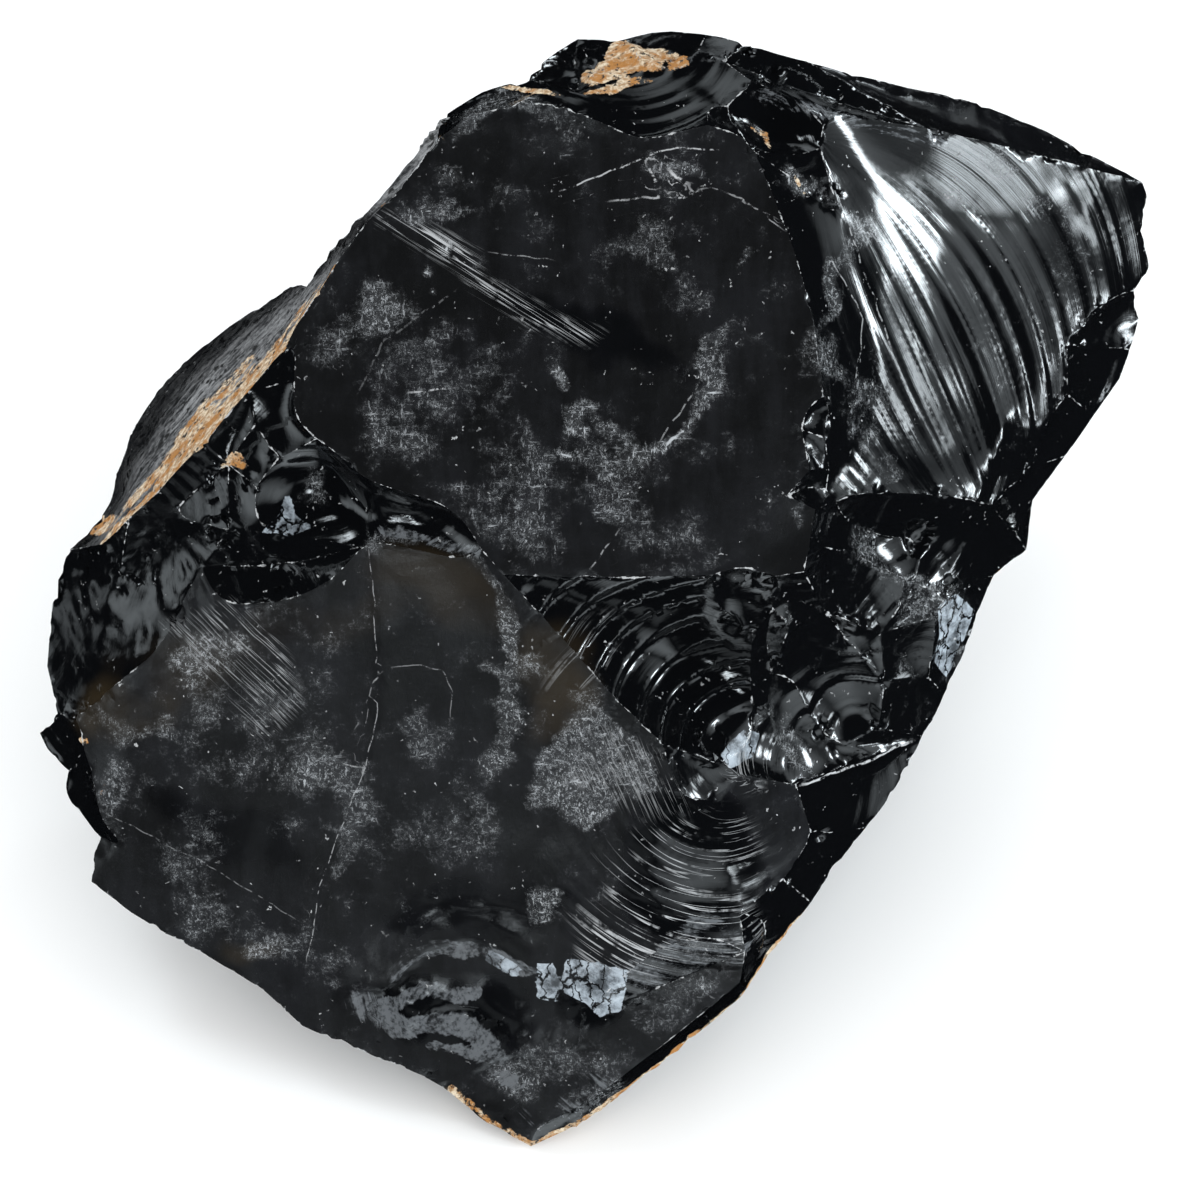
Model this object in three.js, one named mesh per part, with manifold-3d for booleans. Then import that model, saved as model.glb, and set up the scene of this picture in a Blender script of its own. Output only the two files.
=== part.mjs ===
// Obsidian chunk: one broken lump of black volcanic glass, lying on the flat fracture it rests on.
//
// The lump is a closed skin of fracture facets. The facets of its upper side are drawn in the frame of
// its broad face, in millimetres: x across, y up the slope, z out of the face. The broad face leans
// back from level by LEAN. The facets of the underside hang between the rim of that face, a belt of
// points round the belly and a flat foot, which are given in the ground frame: x across, y away from
// the front, z above the surface. The part's own frame is the ground frame, with its origin at the
// middle of its box on the surface.
import * as THREE from "three";
import { mergeVertices } from "three/addons/utils/BufferGeometryUtils.js";
import Module from "manifold-3d";

const LEAN = THREE.MathUtils.degToRad(30); // the broad face's tilt from level
const RISE = 60.5; // height of the broad face's origin above the surface
const CHIP = 0.5; // most that a broken edge wanders from a straight line between two corners
const HALFWAY_SINK = 0.75; // a round hollow is three quarters deep halfway to its edge
const HEART = new THREE.Vector3(0, 10, 52); // a point deep inside, in the ground frame
const SCAR_STEP = 8; // side of the triangles that a flake scar is made of
const SLIVER = 0.02; // triangles flatter than this are taken out
const GLASS = { color: 0x0b0c0e, roughness: 0.12, metalness: 0 };

// The rim, where the upper side meets the underside, clockwise from the left end of the top edge.
const rim = [
  [-40, 70, 27], [-35, 76, 25], [-28, 86, 20], [-21, 90.5, 18], [-13, 93, 18], [-9, 97.5, 12],
  [-4, 100.5, 8], [4, 100.5, 7], [11, 102, 8], [19, 101, 14], [26, 99, 19], [38, 95.5, 19],
  [55, 91.5, 13], [69, 89, 4], [80, 84.5, 0], [90, 79.5, -5], [98, 75.5, -7], [99, 73, -9],
  [97.5, 67, -8], [99.5, 60, -10], [96.5, 56, -8], [97.5, 51, -10], [96, 45.5, -9], [94, 40, -10],
  [89, 33, -9], [84, 26, -7], [78, 18, -4], [77, 9, -5], [71, 4.5, -3], [68, -2, -2],
  [66, -9, -2], [62, -17, -2], [58, -24.5, -2], [55, -31, -2], [48, -41, -3], [42.5, -48, -3],
  [38, -54.5, -3], [30, -64.5, -3], [25.5, -71.5, -2], [17, -79, -4], [6, -87.5, -7], [-3, -95, -10],
  [-12.5, -99, -12], [-20, -95, -12], [-27, -89, -11], [-37, -84, -10], [-47, -80, -10],
  [-54, -77, -11], [-60, -71, -10], [-70, -65, -9], [-78, -60.5, -9], [-86, -56, -10],
  [-92, -51, -10], [-92, -46.5, -9], [-90.5, -43, -8], [-94, -38.5, -11], [-98, -35, -12],
  [-96, -31, -10], [-100, -28, -12], [-101.5, -24, -12], [-98, -20.5, -7], [-100, -12, -9],
  [-99.5, 0, -9], [-96, 9, -8], [-89, 16, -12], [-87.5, 24, -16], [-85.5, 31, -17],
  [-80, 39, -16], [-72, 46, -13], [-64, 51.5, -8], [-57, 55.5, -2], [-52, 57, 8], [-46, 65, 20],
];

// Corners of the upper side, in the broad face's frame.
const upper = {
  // the crest between the weathered left flank and the upper face
  k0: [-40, 68.5, 31], k1: [-46, 61, 32], k2: [-52, 51, 33], k3: [-56, 44, 33], k4: [-62, 37, 31],
  k5: [-70, 28, 27], k6: [-77, 21, 22], k7: [-84, 14.5, 16], k8: [-89, 10, 9],
  // the edge of the upper face, clockwise from its top left
  u1: [-35, 73, 30.5], u2: [-29, 81, 29.5], u3: [-23, 85.5, 28.5], u4: [-14, 88, 28],
  u5: [-5, 87, 29], u6: [2, 83.5, 31], u7: [8, 81, 32.5], u8: [19, 84, 32], u9: [25, 82, 33],
  u10: [27, 79.5, 33.5], u11: [30, 73, 35], u12: [33.5, 64, 36.5], u13: [36.5, 54, 37.5],
  u14: [38.5, 44, 38], u15: [39.3, 36, 38], u16: [36, 33.5, 37.5], u17: [35.5, 30, 37.5],
  u18: [39.8, 28.5, 36], u19: [37, 23, 37], u20: [33, 18.5, 36.5], u21: [38, 16, 35],
  u22: [37, 10, 34.5], u23: [36, 5, 34.5], u24: [30, 4, 35], u25: [25, 6.5, 35.5],
  u26: [20, 4.5, 35.5], u27: [10, 3.7, 36], u28: [-2, 4, 36], u29: [-11, 4, 36],
  u30: [-17, 4.5, 35.5], u31: [-21, 9, 36], u32: [-24.5, 15, 36], u33: [-30, 18, 36],
  u34: [-37, 19.5, 36], u35: [-42, 21.5, 36], u36: [-46.5, 26, 35.5], u37: [-50, 28.5, 35],
  u38: [-54, 32, 34.5], u39: [-54, 39, 34], u40: [-53.5, 46, 33.5],
  // points within the upper face
  c1: [-20, 58, 33.6], c2: [4, 47, 35.6], c3: [-24, 34, 35.4], c4: [10, 68, 33.6],
  // the broken top edge
  t1: [-9, 91.5, 23], t2: [-2, 89.5, 26], t3: [5, 88.5, 26.5], t4: [14, 91, 24.5],
  t5: [14.5, 94.5, 21], t6: [7.5, 95.5, 20], t7: [6, 99, 14], t8: [-1, 94, 18], t9: [17.5, 98, 18],
  t10: [22, 96, 21], t11: [19, 88, 28], t12: [22.5, 87.5, 29], t13: [27, 92, 26.5],
  t14: [31, 90.5, 28.5], t15: [36, 88, 29], t16: [39.5, 84, 30.5], t17: [39, 80, 31.5],
  t18: [35, 77.5, 32],
  // the foot of the narrow wall beside the upper face, which is the left edge of the fan
  n1: [38, 72, 30], n2: [39.5, 65, 30.5], n3: [40.3, 57, 31.5], n4: [41, 48, 32.5],
  n5: [41, 39, 33.5], n6: [40.7, 34, 34.5], n7: [40.5, 23, 33.5], n8: [40, 19.5, 32],
  // the fan: the large ribbed conchoidal scar on the right
  f0: [40, 76, 31], f1: [42, 86.5, 28], f2: [58, 84, 20.5], f3: [75, 80.5, 10], f4: [90, 77, -1],
  p1: [50, 72, 22], p2: [62, 68, 13.5], p3: [74, 66, 7], p4: [86, 66, 1.5],
  q1: [50, 60, 21.5], q2: [60, 55, 14.5], q3: [70, 50, 9.5], q4: [80, 54, 4.5],
  s1: [50, 46, 23], s2: [58, 38, 17.5], s3: [66, 32, 12.5], s4: [75, 41, 7],
  w1: [48, 32, 25.5], w2: [55, 26, 20.5], w3: [64, 24, 14.5],
  e1: [73, 32, 9.5], e2: [79, 30, 4.5], e3: [84, 46, 2.5], e4: [84, 37, 1], e5: [91, 54, -1],
  e6: [78, 24, 1], e7: [70, 24, 12],
  // the wall under the fan
  b1: [46, 19, 29], b2: [55, 19, 23], b3: [63, 18.5, 16.5], b4: [70, 17, 10.5], b5: [75, 12, 2],
  d1: [43, 15, 24], d2: [50, 13, 17.5], d3: [58, 11.5, 12.5], d4: [66, 11, 7.5],
  // the shattered right side
  g1: [46, 8, 20], g2: [56, 3, 13], g3: [63, 1, 7.5], g4: [60, -3, 9], g5: [59, -14, 4],
  g6: [50, -6, 13], g7: [51, -15, 9], g8: [50, -23, 6], g9: [50, -27.5, 4],
  h1: [40, -2, 22], h2: [33.5, -5, 27], h3: [30.5, -2, 29], h4: [27, -6, 27], h5: [22, -4, 28],
  h6: [20, 0, 31], h7: [30.5, -13, 19], h8: [26.5, -13, 21], h9: [38.5, -8, 18],
  h10: [35, -14, 15], h11: [46, -9, 14], h12: [44, -26, 7.5], h13: [38.5, -24, 10],
  h14: [27.5, -20, 17], h15: [27, -25, 17], h16: [22, -29, 22], h17: [25, -31, 20],
  h18: [20, -36, 21], h19: [35, -33, 12], h20: [38, -42, 4], h21: [37, -47, 2],
  h22: [35, -38, 9], h23: [33, -50, 5],
  // the deep hollow of the arched scar
  i1: [0, -3, 27], i2: [10, -3, 25], i3: [18, -10, 19], i4: [10, -14, 20], i5: [19, -21, 16.5],
  // the edge between that scar and the lower face, and the lower face's right edge
  l0: [-12, -1, 34], l1: [-5, -8.5, 32], l2: [4, -19, 29.5], l3: [11, -25.5, 28.5],
  l4: [14, -35, 25], j1: [9, -40, 22], j2: [22, -46, 13.5], j3: [25, -56, 11], j4: [21, -60, 12.5],
  j5: [10, -62, 12], j6: [4, -54, 14.5], j7: [26, -63, 10],
  z1: [25, -68.5, 8.5], z2: [16, -76, 4], z3: [5, -85, -1], z4: [-4, -92, -5.5],
  z5: [-12, -95.5, -8.5], z6: [-20, -92, -9],
  // the upper edge of the lower face
  m1: [-42, 9.5, 30], m2: [-33, 9, 31.5], m3: [-24, 7, 33.5], m4: [-46, 5, 28], m5: [-51, 1.5, 25],
  m6: [-59, -1, 21.5], m7: [-68, -0.5, 18], m8: [-76, -4, 13], m9: [-79, -9, 11],
  m10: [-88, -16, 6], m11: [-94.5, -21, -2],
  // points within the lower face
  x1: [-40, -8, 23.5], x2: [-41, -28, 14.5], x3: [-48, -48, 4.5], x4: [-52, -62, -2.5],
  y1: [-5, -42, 15.8], y2: [-25, -58, 4.5], y3: [-2, -64, 7], y4: [-38, -72, -4.5],
  y5: [-62, -22, 12.5], y6: [-80, -26, 6], y7: [-68, -46, 0.5],
  o1: [-93, -27, -3], o2: [-91, -34, -3], o3: [-90, -40, -4.5],
  // the hollows between the upper and the lower face
  v1: [-55, 11.5, 27], v2: [-66, 12.5, 23.5], v3: [-71, 6, 17.5], v4: [-78, 3, 11.5],
  v5: [-61, 31, 29.5], v6: [-66, 24, 25.5], v7: [-77, 15, 18], v8: [-86, 4.5, 9],
  v9: [-91, -6, 2.5], r1: [-61, 20, 27.5], r2: [-57, 25, 30], r3: [-39.5, 14, 32],
  r4: [-40, 10.5, 31], r5: [-62, 13.5, 25.5],
};

// Corners of the underside, in the ground frame.
const ground = {
  B1: [-14, -66, 0], B2: [14, -54, 0], B3: [34, -24, 0], B4: [48, 16, 0], B5: [28, 46, 0],
  B6: [-16, 52, 0], B7: [-50, 30, 0], B8: [-60, -8, 0], B9: [-44, -46, 0],
  D1: [52, -14, 20], D2: [64, 14, 34], D3: [82, 44, 48], D4: [84, 66, 66], D5: [50, 78, 70],
  D6: [14, 84, 76], D7: [-20, 72, 78], D8: [-48, 52, 60], D9: [-70, 36, 36], D10: [-80, 8, 28],
  D11: [-78, -22, 16], D12: [-58, -42, 8], D13: [40, 60, 30], D14: [0, 66, 28],
  D15: [-40, 50, 24], D16: [60, 34, 16],
};

// Facets of the upper side: corners by name, a1 and up being the rim, then the hollow's depth in mm.
const upperFacets = [
  // weathered left flank
  ["a1 k0 k1 k2 a72 a73", 1], ["k2 k3 k4 k5 a69 a70 a71 a72", 1],
  ["k5 k6 k7 k8 a65 a66 a67 a68 a69", 0], ["k8 a64 a65"],
  // upper face
  ["k0 u1 u2 u3 u4 u5 u6 u7 c4 c1"], ["u7 u8 u9 u10 u11 u12 c4"], ["c4 u12 u13 u14 c2"],
  ["c1 c4 c2 c3"], ["c2 u14 u15 u16 u17"],
  ["c2 u17 u19 u20 u27"], ["u20 u21 u22 u23 u24 u25 u26 u27"],
  ["c3 c2 u27 u28 u29 u30 u31 u32 u33"], ["c3 u33 u34 u35 u36 u37 u38 u39"],
  ["c1 c3 u39 u40 k2 k1 k0"],
  // broken top edge
  ["a1 a2 u1 k0", 0], ["a2 a3 u2 u1", 1], ["a3 u3 u2"], ["a3 a4 a5 t1 u4 u3", 1], ["t1 t2 u5 u4", 0],
  ["t2 t3 u6 u5", 0], ["a5 a6 a7 t8 t2 t1", 2.5], ["t2 t3 t4 t5 t6 t7 t8", 0.5],
  ["a7 a8 t7 t8", 0.5], ["a8 a9 a10 t9 t5 t6 t7", 1], ["a10 a11 t10 t9", 0.3],
  ["t9 t10 t13 t12 t11 t4 t5", 1], ["t3 t4 t11 u8 u7 u6", 0.6], ["t11 t12 u9 u8", 0.4],
  ["t12 t13 t14 t15 t16 t17 t18 u10 u9", 4.5],
  ["a11 a12 f2 f1 t15 t14 t13 t10", 0.8], ["a12 a13 a14 f3 f2", 0.8],
  ["a14 a15 a16 a17 f4 f3", 0.5],
  // narrow wall beside the upper face
  ["u10 t18 n1 u11"], ["t18 t17 f0 n1"], ["u11 n1 n2 u12"], ["u12 n2 n3 u13"],
  ["u13 n3 n4 u14"], ["u14 n4 n5 u15"], ["u15 n5 n6"], ["u15 n6 u18 u17 u16", 1.5],
  ["u17 u18 n7 u19", 0.5], ["u19 n7 n8 u21 u20", 1.2],
  // fan
  ["t15 f1 t16"], ["t16 f1 p1 f0 t17"], ["f1 f2 p2 p1"], ["f2 f3 p3 p2"], ["f3 f4 p4 p3"],
  ["f4 a17 a18 a19 p4"], ["f0 p1 q1 n3 n2 n1"], ["p1 p2 q2 q1"], ["p2 p3 q4 q3 q2"],
  ["p3 p4 e5 q4"], ["p4 a19 a20 a21 e5"], ["n3 q1 s1 n5 n4"], ["q1 q2 s2 s1"],
  ["q2 q3 s4 s3 s2"], ["q3 q4 e3 s4"], ["q4 e5 e3"], ["e5 a21 a22 a23 e3", 1.5],
  ["e3 a23 a24 a25 e4", 1.5], ["e3 e4 e2 e1 s4"], ["e4 a25 a26 e6 e2", 1],
  ["n5 s1 w1 u18 n6"], ["s1 s2 w2 w1"], ["s2 s3 w3 w2"], ["s3 s4 e1 e7 w3"],
  ["e1 e2 e6 b4 e7", 1], ["w1 b1 n8 n7 u18"], ["w1 w2 b2 b1"], ["w2 w3 b3 b2"],
  ["w3 e7 b4 b3"], ["e6 a26 a27 b5 b4", 1],
  // wall under the fan
  ["n8 b1 d1 u21"], ["b1 b2 d2 d1"], ["b2 b3 d3 d2"], ["b3 b4 d4 d3"], ["b4 b5 d4"],
  // shattered right side
  ["u21 d1 g1 u22", 0.8], ["d1 d2 d3 g2 g1", 1.4], ["d3 d4 g3 g2", 0.8],
  ["d4 b5 a28 a29 g3", 0.8], ["b5 a27 a28"], ["g3 a29 a30 g4", 0.5], ["g4 a30 a31 a32 g5", 1.2],
  ["u22 g1 h1 u23", 1], ["g1 g2 g6 h1", 1], ["g2 g3 g4 g6", 0.6], ["g4 g5 g7 g6", 1],
  ["g5 a32 a33 g8 g7", 0.8], ["u26 h6 h5 h4 h3 u24 u25", 2.5], ["u24 u23 h1 h2 h3", 0.8],
  ["h3 h2 h7 h8 h4", 0.8], ["h2 h1 h9 h10 h7", 1.2], ["h1 g6 h11 h9", 0.8], ["g6 g7 h11", 0.4],
  ["h9 h11 g7 g8 h12 h13 h10", 3], ["h7 h10 h13 h14 h8", 0.8],
  ["h15 h14 h13 h19 h17 h16", 1.5], ["h13 h12 g9 h19", 0.6], ["h12 g8 a33 g9", 0.4],
  ["g9 a33 a34 a35 h20 h19", 1], ["h20 a35 a36 h21", 0.3], ["h19 h20 h22", 0.2],
  // arched scar and its lip
  ["u30 u29 i1 l1 l0"], ["u29 u28 i1"], ["u28 u27 i2 i1"], ["u27 u26 h6 h5 i2"],
  ["h5 h4 h8 i3 i2"], ["i1 i2 i4 l2 l1"], ["i2 i3 i4"], ["i4 i3 i5 l3 l2"], ["i3 h8 h14 i5"],
  ["i5 h14 h15 h16 l3"], ["l3 h16 h17 h18 l4", 0.8],
  // rippled scar below it
  ["l4 h18 j2 j1"], ["h18 h17 h19 h22 j2"], ["h22 h20 h23 j2"], ["j2 h23 j3"],
  ["j1 j2 j3 j4 j5 j6"], ["h20 h21 h23", 0.2], ["h21 a36 a37 h23", 0.5],
  ["h23 a37 a38 j7 j3", 0.8], ["j3 j7 j4", 0.2],
  // narrow weathered bevel round the front tip
  ["j7 a38 a39 z1"], ["z1 a39 a40 z2"], ["z2 a40 a41 z3"], ["z3 a41 a42 z4"],
  ["z4 a42 a43 z5"], ["z5 a43 a44 z6"], ["z6 a44 a45"],
  // lower face
  ["m1 m2 m3 u30 l0 l1 l2 l3 l4 j1 y1 x2 x1"], ["y1 j1 j6 j5 y3 y2 x3 x2"],
  ["y2 y3 j5 j4 j7 z1 z2 z3 z4 z5 z6 a45 a46 y4"], ["x3 y2 y4 x4"],
  ["m1 x1 x2 y5 m7 m6 m5 m4"], ["m8 m7 y5 y6 m10 m9"], ["y5 x2 x3 y7 y6"],
  ["m10 y6 o2 o1 m11"], ["y6 y7 a51 a52 a53 a54 a55 o3 o2"], ["y7 x3 x4 a49 a50 a51"],
  ["x4 y4 a46 a47 a48 a49"],
  // small lobes behind the left corner
  ["a61 m11 o1 a58 a59 a60", 0.8], ["o1 o2 o3 a56 a57 a58", 0.8], ["o3 a55 a56"],
  // hollows between the two faces
  ["m1 v1 v2 v3 m7 m6 m5 m4", 1.5], ["v3 m7 m8", 0.3], ["v3 m8 v4", 0.3],
  ["r2 u37 u36 u35 r3 r4 m1 v1 r5 r1", 7], ["u35 u34 u33 u32 u31 m3 m2 r4 r3", 4],
  ["u31 u30 m3", 0.2], ["r4 m1 m2", 0.2], ["k4 u39 u38 u37 r2 v5", 1.5], ["k3 k4 u39 u40", 0.6],
  ["k2 k3 u40"], ["k4 v5 v6 k5", 0.8], ["v5 r2 r1 v6", 0.8], ["v6 r1 r5 v2", 0.6],
  ["v2 r5 v1"], ["k5 v6 v2 v7 k6", 1], ["k6 v7 k7", 0.2], ["v7 v2 v3 v4 v8 k7", 1.5],
  // glossy left end
  ["k7 v8 k8"], ["k8 v8 v9 a63 a64", 0.6], ["v8 v4 m8 m9 v9", 0.8],
  ["v9 m9 m10 m11 a61 a62 a63", 1],
];

// Facets of the underside, listed in the same way.
const lowerFacets = [
  ["B1 B2 B3 B4 B5 B6 B7 B8 B9"],
  ["a43 B1 B2 a41 a42", 0.4], ["B1 B9 a47 a46 a45 a44 a43", 0.6],
  ["B2 B3 a37 a38 a39 a40 a41", 1.5], ["B3 D1 a35 a36 a37", 1.2], ["B3 B4 D16 D2 D1", 2],
  ["D1 D2 a31 a32 a33 a34 a35", 1.5], ["D2 D3 a27 a28 a29 a30 a31", 2], ["D16 D3 D2", 1],
  ["D3 a27 a26 a25 a24 a23 a22 D4", 2], ["D4 a22 a21 a20 a19 a18 a17 a16 a15", 1.2],
  ["D4 a15 a14 a13 D5", 2], ["D5 a13 a12 a11 D6", 2.5], ["D6 a11 a10 a9 a8", 0.5],
  ["D6 a8 a7 a6 a5 D7", 2], ["D7 a5 a4 a3 a2 a1 a73 a72 D8", 2], ["D8 a72 a71 a70", 0.4],
  ["D8 a70 a69 D9", 1.5], ["D9 a69 a68 a67 a66 a65 a64 D10", 2.5],
  ["D10 a64 a63 a62 a61 a60 a59 a58 a57 a56 D11", 2],
  ["D11 a56 a55 a54 a53 a52 a51 D12", 1], ["D12 a51 a50 a49 a48 a47 B9", 0.8],
  ["B9 D12 D11 B8", 1], ["B8 D11 D10", 1], ["B8 D10 D9 B7", 2], ["B7 D9 D8 D15", 2],
  ["B7 D15 B6", 1], ["D15 D8 D7 D14", 3], ["B6 D15 D14", 0.8], ["B6 D14 D13 B5", 1.5],
  ["D14 D7 D6", 1.5], ["D14 D6 D5 D13", 3], ["B5 D13 D16 B4", 1.5], ["D13 D5 D4 D3", 3],
  ["D13 D3 D16", 1],
];

// Shell-shaped scars of the large flakes struck off the back and the underside: the way out from the
// heart, the scar's width and its depth.
const flakeScars = [
  [[0.1, 0.95, 0.1], 84, 10], [[-0.5, 0.8, 0], 66, 8], [[0.62, 0.72, -0.08], 74, 9],
  [[-0.05, 0.75, -0.55], 66, 7], [[0.55, 0.45, -0.6], 60, 7], [[0.88, -0.1, -0.5], 64, 7],
  [[0.5, -0.56, -0.62], 44, 5], [[-0.86, -0.06, -0.55], 52, 7], [[-0.5, -0.66, -0.66], 42, 4],
  [[-0.72, 0.5, -0.4], 54, 8], [[-0.84, 0.42, -0.16], 36, 4], [[0.84, 0.42, -0.24], 40, 5],
  [[-0.72, -0.4, -0.62], 34, 4], [[0.78, 0.2, -0.62], 40, 5], [[-0.3, 0.62, -0.68], 40, 5],
  [[-0.16, 0.98, 0.2], 30, 3], [[0.72, -0.34, -0.62], 34, 4],
];

const fromFace = ([x, y, z]) =>
  new THREE.Vector3(x, y, z)
    .applyAxisAngle(new THREE.Vector3(1, 0, 0), LEAN)
    .add(new THREE.Vector3(0, 0, RISE));

const corners = new Map();
rim.forEach((p, i) => corners.set("a" + (i + 1), fromFace(p)));
for (const [name, p] of Object.entries(upper)) corners.set(name, fromFace(p));
for (const [name, p] of Object.entries(ground)) corners.set(name, new THREE.Vector3(...p));

// The same wander between -1 and 1 for an edge, whichever way it is walked.
function wander(p) {
  const s = Math.sin(p.x * 12.9898 + p.y * 78.233 + p.z * 37.719) * 43758.5453;
  return 2 * (s - Math.floor(s)) - 1;
}

// The middle of an edge, moved a little, so that long edges look broken. The foot stays flat.
function middle(a, b) {
  const m = a.clone().add(b).multiplyScalar(0.5);
  if (a.z === 0 && b.z === 0) return m;
  const length = a.distanceTo(b);
  const out = m.clone().sub(new THREE.Vector3(0, 0, RISE)).normalize();
  return m.addScaledVector(out, wander(m) * Math.min(CHIP, length * 0.05));
}

const positions = [];
function triangle(a, b, c) {
  for (const p of [a, b, c]) positions.push(p.x, p.y, p.z);
}

// One facet: a ring of corners round a centre that sinks by depth. Each of its slices is cut into four,
// with the inner points sunk as far as a round hollow is there.
function facet(names, depth, outward) {
  let loop = names.split(" ").map((name) => corners.get(name));
  const centre = loop.reduce((sum, p) => sum.add(p), new THREE.Vector3());
  centre.divideScalar(loop.length);
  const normal = new THREE.Vector3();
  loop.forEach((p, i) => {
    const next = loop[(i + 1) % loop.length];
    normal.add(p.clone().sub(centre).cross(next.clone().sub(centre)));
  });
  if (normal.dot(outward) < 0) {
    loop = loop.reverse();
    normal.negate();
  }
  normal.normalize();
  const deepest = centre.clone().addScaledVector(normal, -depth);
  const spokes = loop.map((p) =>
    p.clone().add(centre).multiplyScalar(0.5).addScaledVector(normal, -depth * HALFWAY_SINK));
  loop.forEach((p, i) => {
    const j = (i + 1) % loop.length;
    const edge = middle(p, loop[j]);
    triangle(p, edge, spokes[i]);
    triangle(edge, loop[j], spokes[j]);
    triangle(edge, spokes[j], spokes[i]);
    triangle(spokes[i], spokes[j], deepest);
  });
}

const faceOut = fromFace([0, 0, 1]).sub(fromFace([0, 0, 0]));
for (const [names, depth = 0] of upperFacets) facet(names, depth, faceOut);
for (const [names, depth = 0] of lowerFacets) facet(names, depth, faceOut.clone().negate());

const shell = new THREE.BufferGeometry();
shell.setAttribute("position", new THREE.Float32BufferAttribute(positions, 3));
const shellMesh = new THREE.Mesh(shell);

const wasm = await Module();
wasm.setup();

function toSolid(soup) {
  const bare = new THREE.BufferGeometry().setAttribute("position", soup.getAttribute("position"));
  const merged = mergeVertices(bare, 1e-3);
  return new wasm.Manifold(new wasm.Mesh({
    numProp: 3,
    vertProperties: merged.getAttribute("position").array,
    triVerts: new Uint32Array(merged.index.array),
  }));
}

function toGeometry(solid) {
  const mesh = solid.getMesh();
  const geometry = new THREE.BufferGeometry();
  geometry.setAttribute("position", new THREE.BufferAttribute(mesh.vertProperties, 3));
  geometry.setIndex(new THREE.BufferAttribute(mesh.triVerts, 1));
  return geometry;
}

// The ball that cuts one scar out of the skin.
function scarBall([way, width, depth]) {
  const out = new THREE.Vector3(...way).normalize();
  const hit = new THREE.Raycaster(HEART, out).intersectObject(shellMesh).pop();
  const radius = (width * width / 4 + depth * depth) / (2 * depth);
  const ball = new THREE.IcosahedronGeometry(radius, Math.round(radius / SCAR_STEP));
  const centre = hit.point.clone().addScaledVector(hit.face.normal, radius - depth);
  return toSolid(ball.translate(centre.x, centre.y, centre.z));
}

shellMesh.material.side = THREE.DoubleSide;
let lump = toSolid(shell);
for (const scar of flakeScars) lump = lump.subtract(scarBall(scar));
lump = lump.simplify(SLIVER);

const geometry = toGeometry(lump);
geometry.computeBoundingBox();
const middleOfBox = geometry.boundingBox.getCenter(new THREE.Vector3());
geometry.translate(-middleOfBox.x, -middleOfBox.y, 0);
geometry.computeVertexNormals();

const chunk = new THREE.Mesh(geometry, new THREE.MeshStandardMaterial(GLASS));
chunk.name = "obsidian_chunk";

const part = new THREE.Group();
part.add(chunk);
export default part;
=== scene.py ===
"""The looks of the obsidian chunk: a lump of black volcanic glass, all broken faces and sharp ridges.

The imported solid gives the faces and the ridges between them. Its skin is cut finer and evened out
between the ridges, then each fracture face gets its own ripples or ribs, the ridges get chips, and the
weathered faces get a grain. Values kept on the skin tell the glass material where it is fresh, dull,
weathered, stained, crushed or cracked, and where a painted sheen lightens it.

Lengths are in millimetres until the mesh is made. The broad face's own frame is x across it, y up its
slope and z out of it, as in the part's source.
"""

import math
from itertools import product

import bmesh
import bpy
import numpy as np
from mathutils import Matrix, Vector, kdtree


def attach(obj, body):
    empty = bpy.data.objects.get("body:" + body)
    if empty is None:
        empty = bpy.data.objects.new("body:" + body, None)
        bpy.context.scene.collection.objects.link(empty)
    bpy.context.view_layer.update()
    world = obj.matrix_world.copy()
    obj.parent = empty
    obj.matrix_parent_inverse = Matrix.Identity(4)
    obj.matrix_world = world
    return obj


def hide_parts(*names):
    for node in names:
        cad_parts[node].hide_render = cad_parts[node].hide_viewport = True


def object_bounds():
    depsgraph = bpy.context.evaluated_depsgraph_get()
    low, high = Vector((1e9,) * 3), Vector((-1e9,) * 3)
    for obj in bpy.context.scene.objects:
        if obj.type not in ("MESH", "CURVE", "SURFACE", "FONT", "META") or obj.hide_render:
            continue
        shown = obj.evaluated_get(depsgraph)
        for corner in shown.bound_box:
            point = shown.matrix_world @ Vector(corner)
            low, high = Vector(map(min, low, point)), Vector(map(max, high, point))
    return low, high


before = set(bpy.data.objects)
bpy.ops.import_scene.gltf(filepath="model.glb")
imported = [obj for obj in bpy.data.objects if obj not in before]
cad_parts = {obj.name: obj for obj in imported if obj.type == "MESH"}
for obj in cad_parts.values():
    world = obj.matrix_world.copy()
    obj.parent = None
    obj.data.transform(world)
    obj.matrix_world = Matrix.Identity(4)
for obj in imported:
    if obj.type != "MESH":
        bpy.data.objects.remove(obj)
cad_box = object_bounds()

NODE = "obsidian_chunk"
MM = 0.001
SEED = 7
FAR_OFF = 1e9  # more than any distance or area of the lump

# The broad face's frame, as the part's source states it.
LEAN = math.radians(30)
FACE_LEFT_END = -101.5  # x of the solid's left end
FACE_TIP = (-99.0, -12.0)  # y and z of the front tip
FACE_HEIGHT = 60.5  # height of the broad face's origin above the surface

low = np.array(cad_box[0]) / MM
ACROSS = np.array([1.0, 0.0, 0.0])
UPSLOPE = np.array([0.0, math.cos(LEAN), math.sin(LEAN)])
OUTWARD = np.array([0.0, -math.sin(LEAN), math.cos(LEAN)])
ORIGIN = np.array([
    low[0] - FACE_LEFT_END,
    low[1] - FACE_TIP[0] * UPSLOPE[1] - FACE_TIP[1] * OUTWARD[1],
    low[2] + FACE_HEIGHT,
])


def to_face(points):
    """Points of the part's frame in the broad face's frame."""
    p = points - ORIGIN
    return np.stack([p @ ACROSS, p @ UPSLOPE, p @ OUTWARD], axis=1)


# ---- numbers over the skin


def smoothstep(a, b, x):
    t = np.clip((x - a) / (b - a), 0, 1)
    return t * t * (3 - 2 * t)


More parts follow.
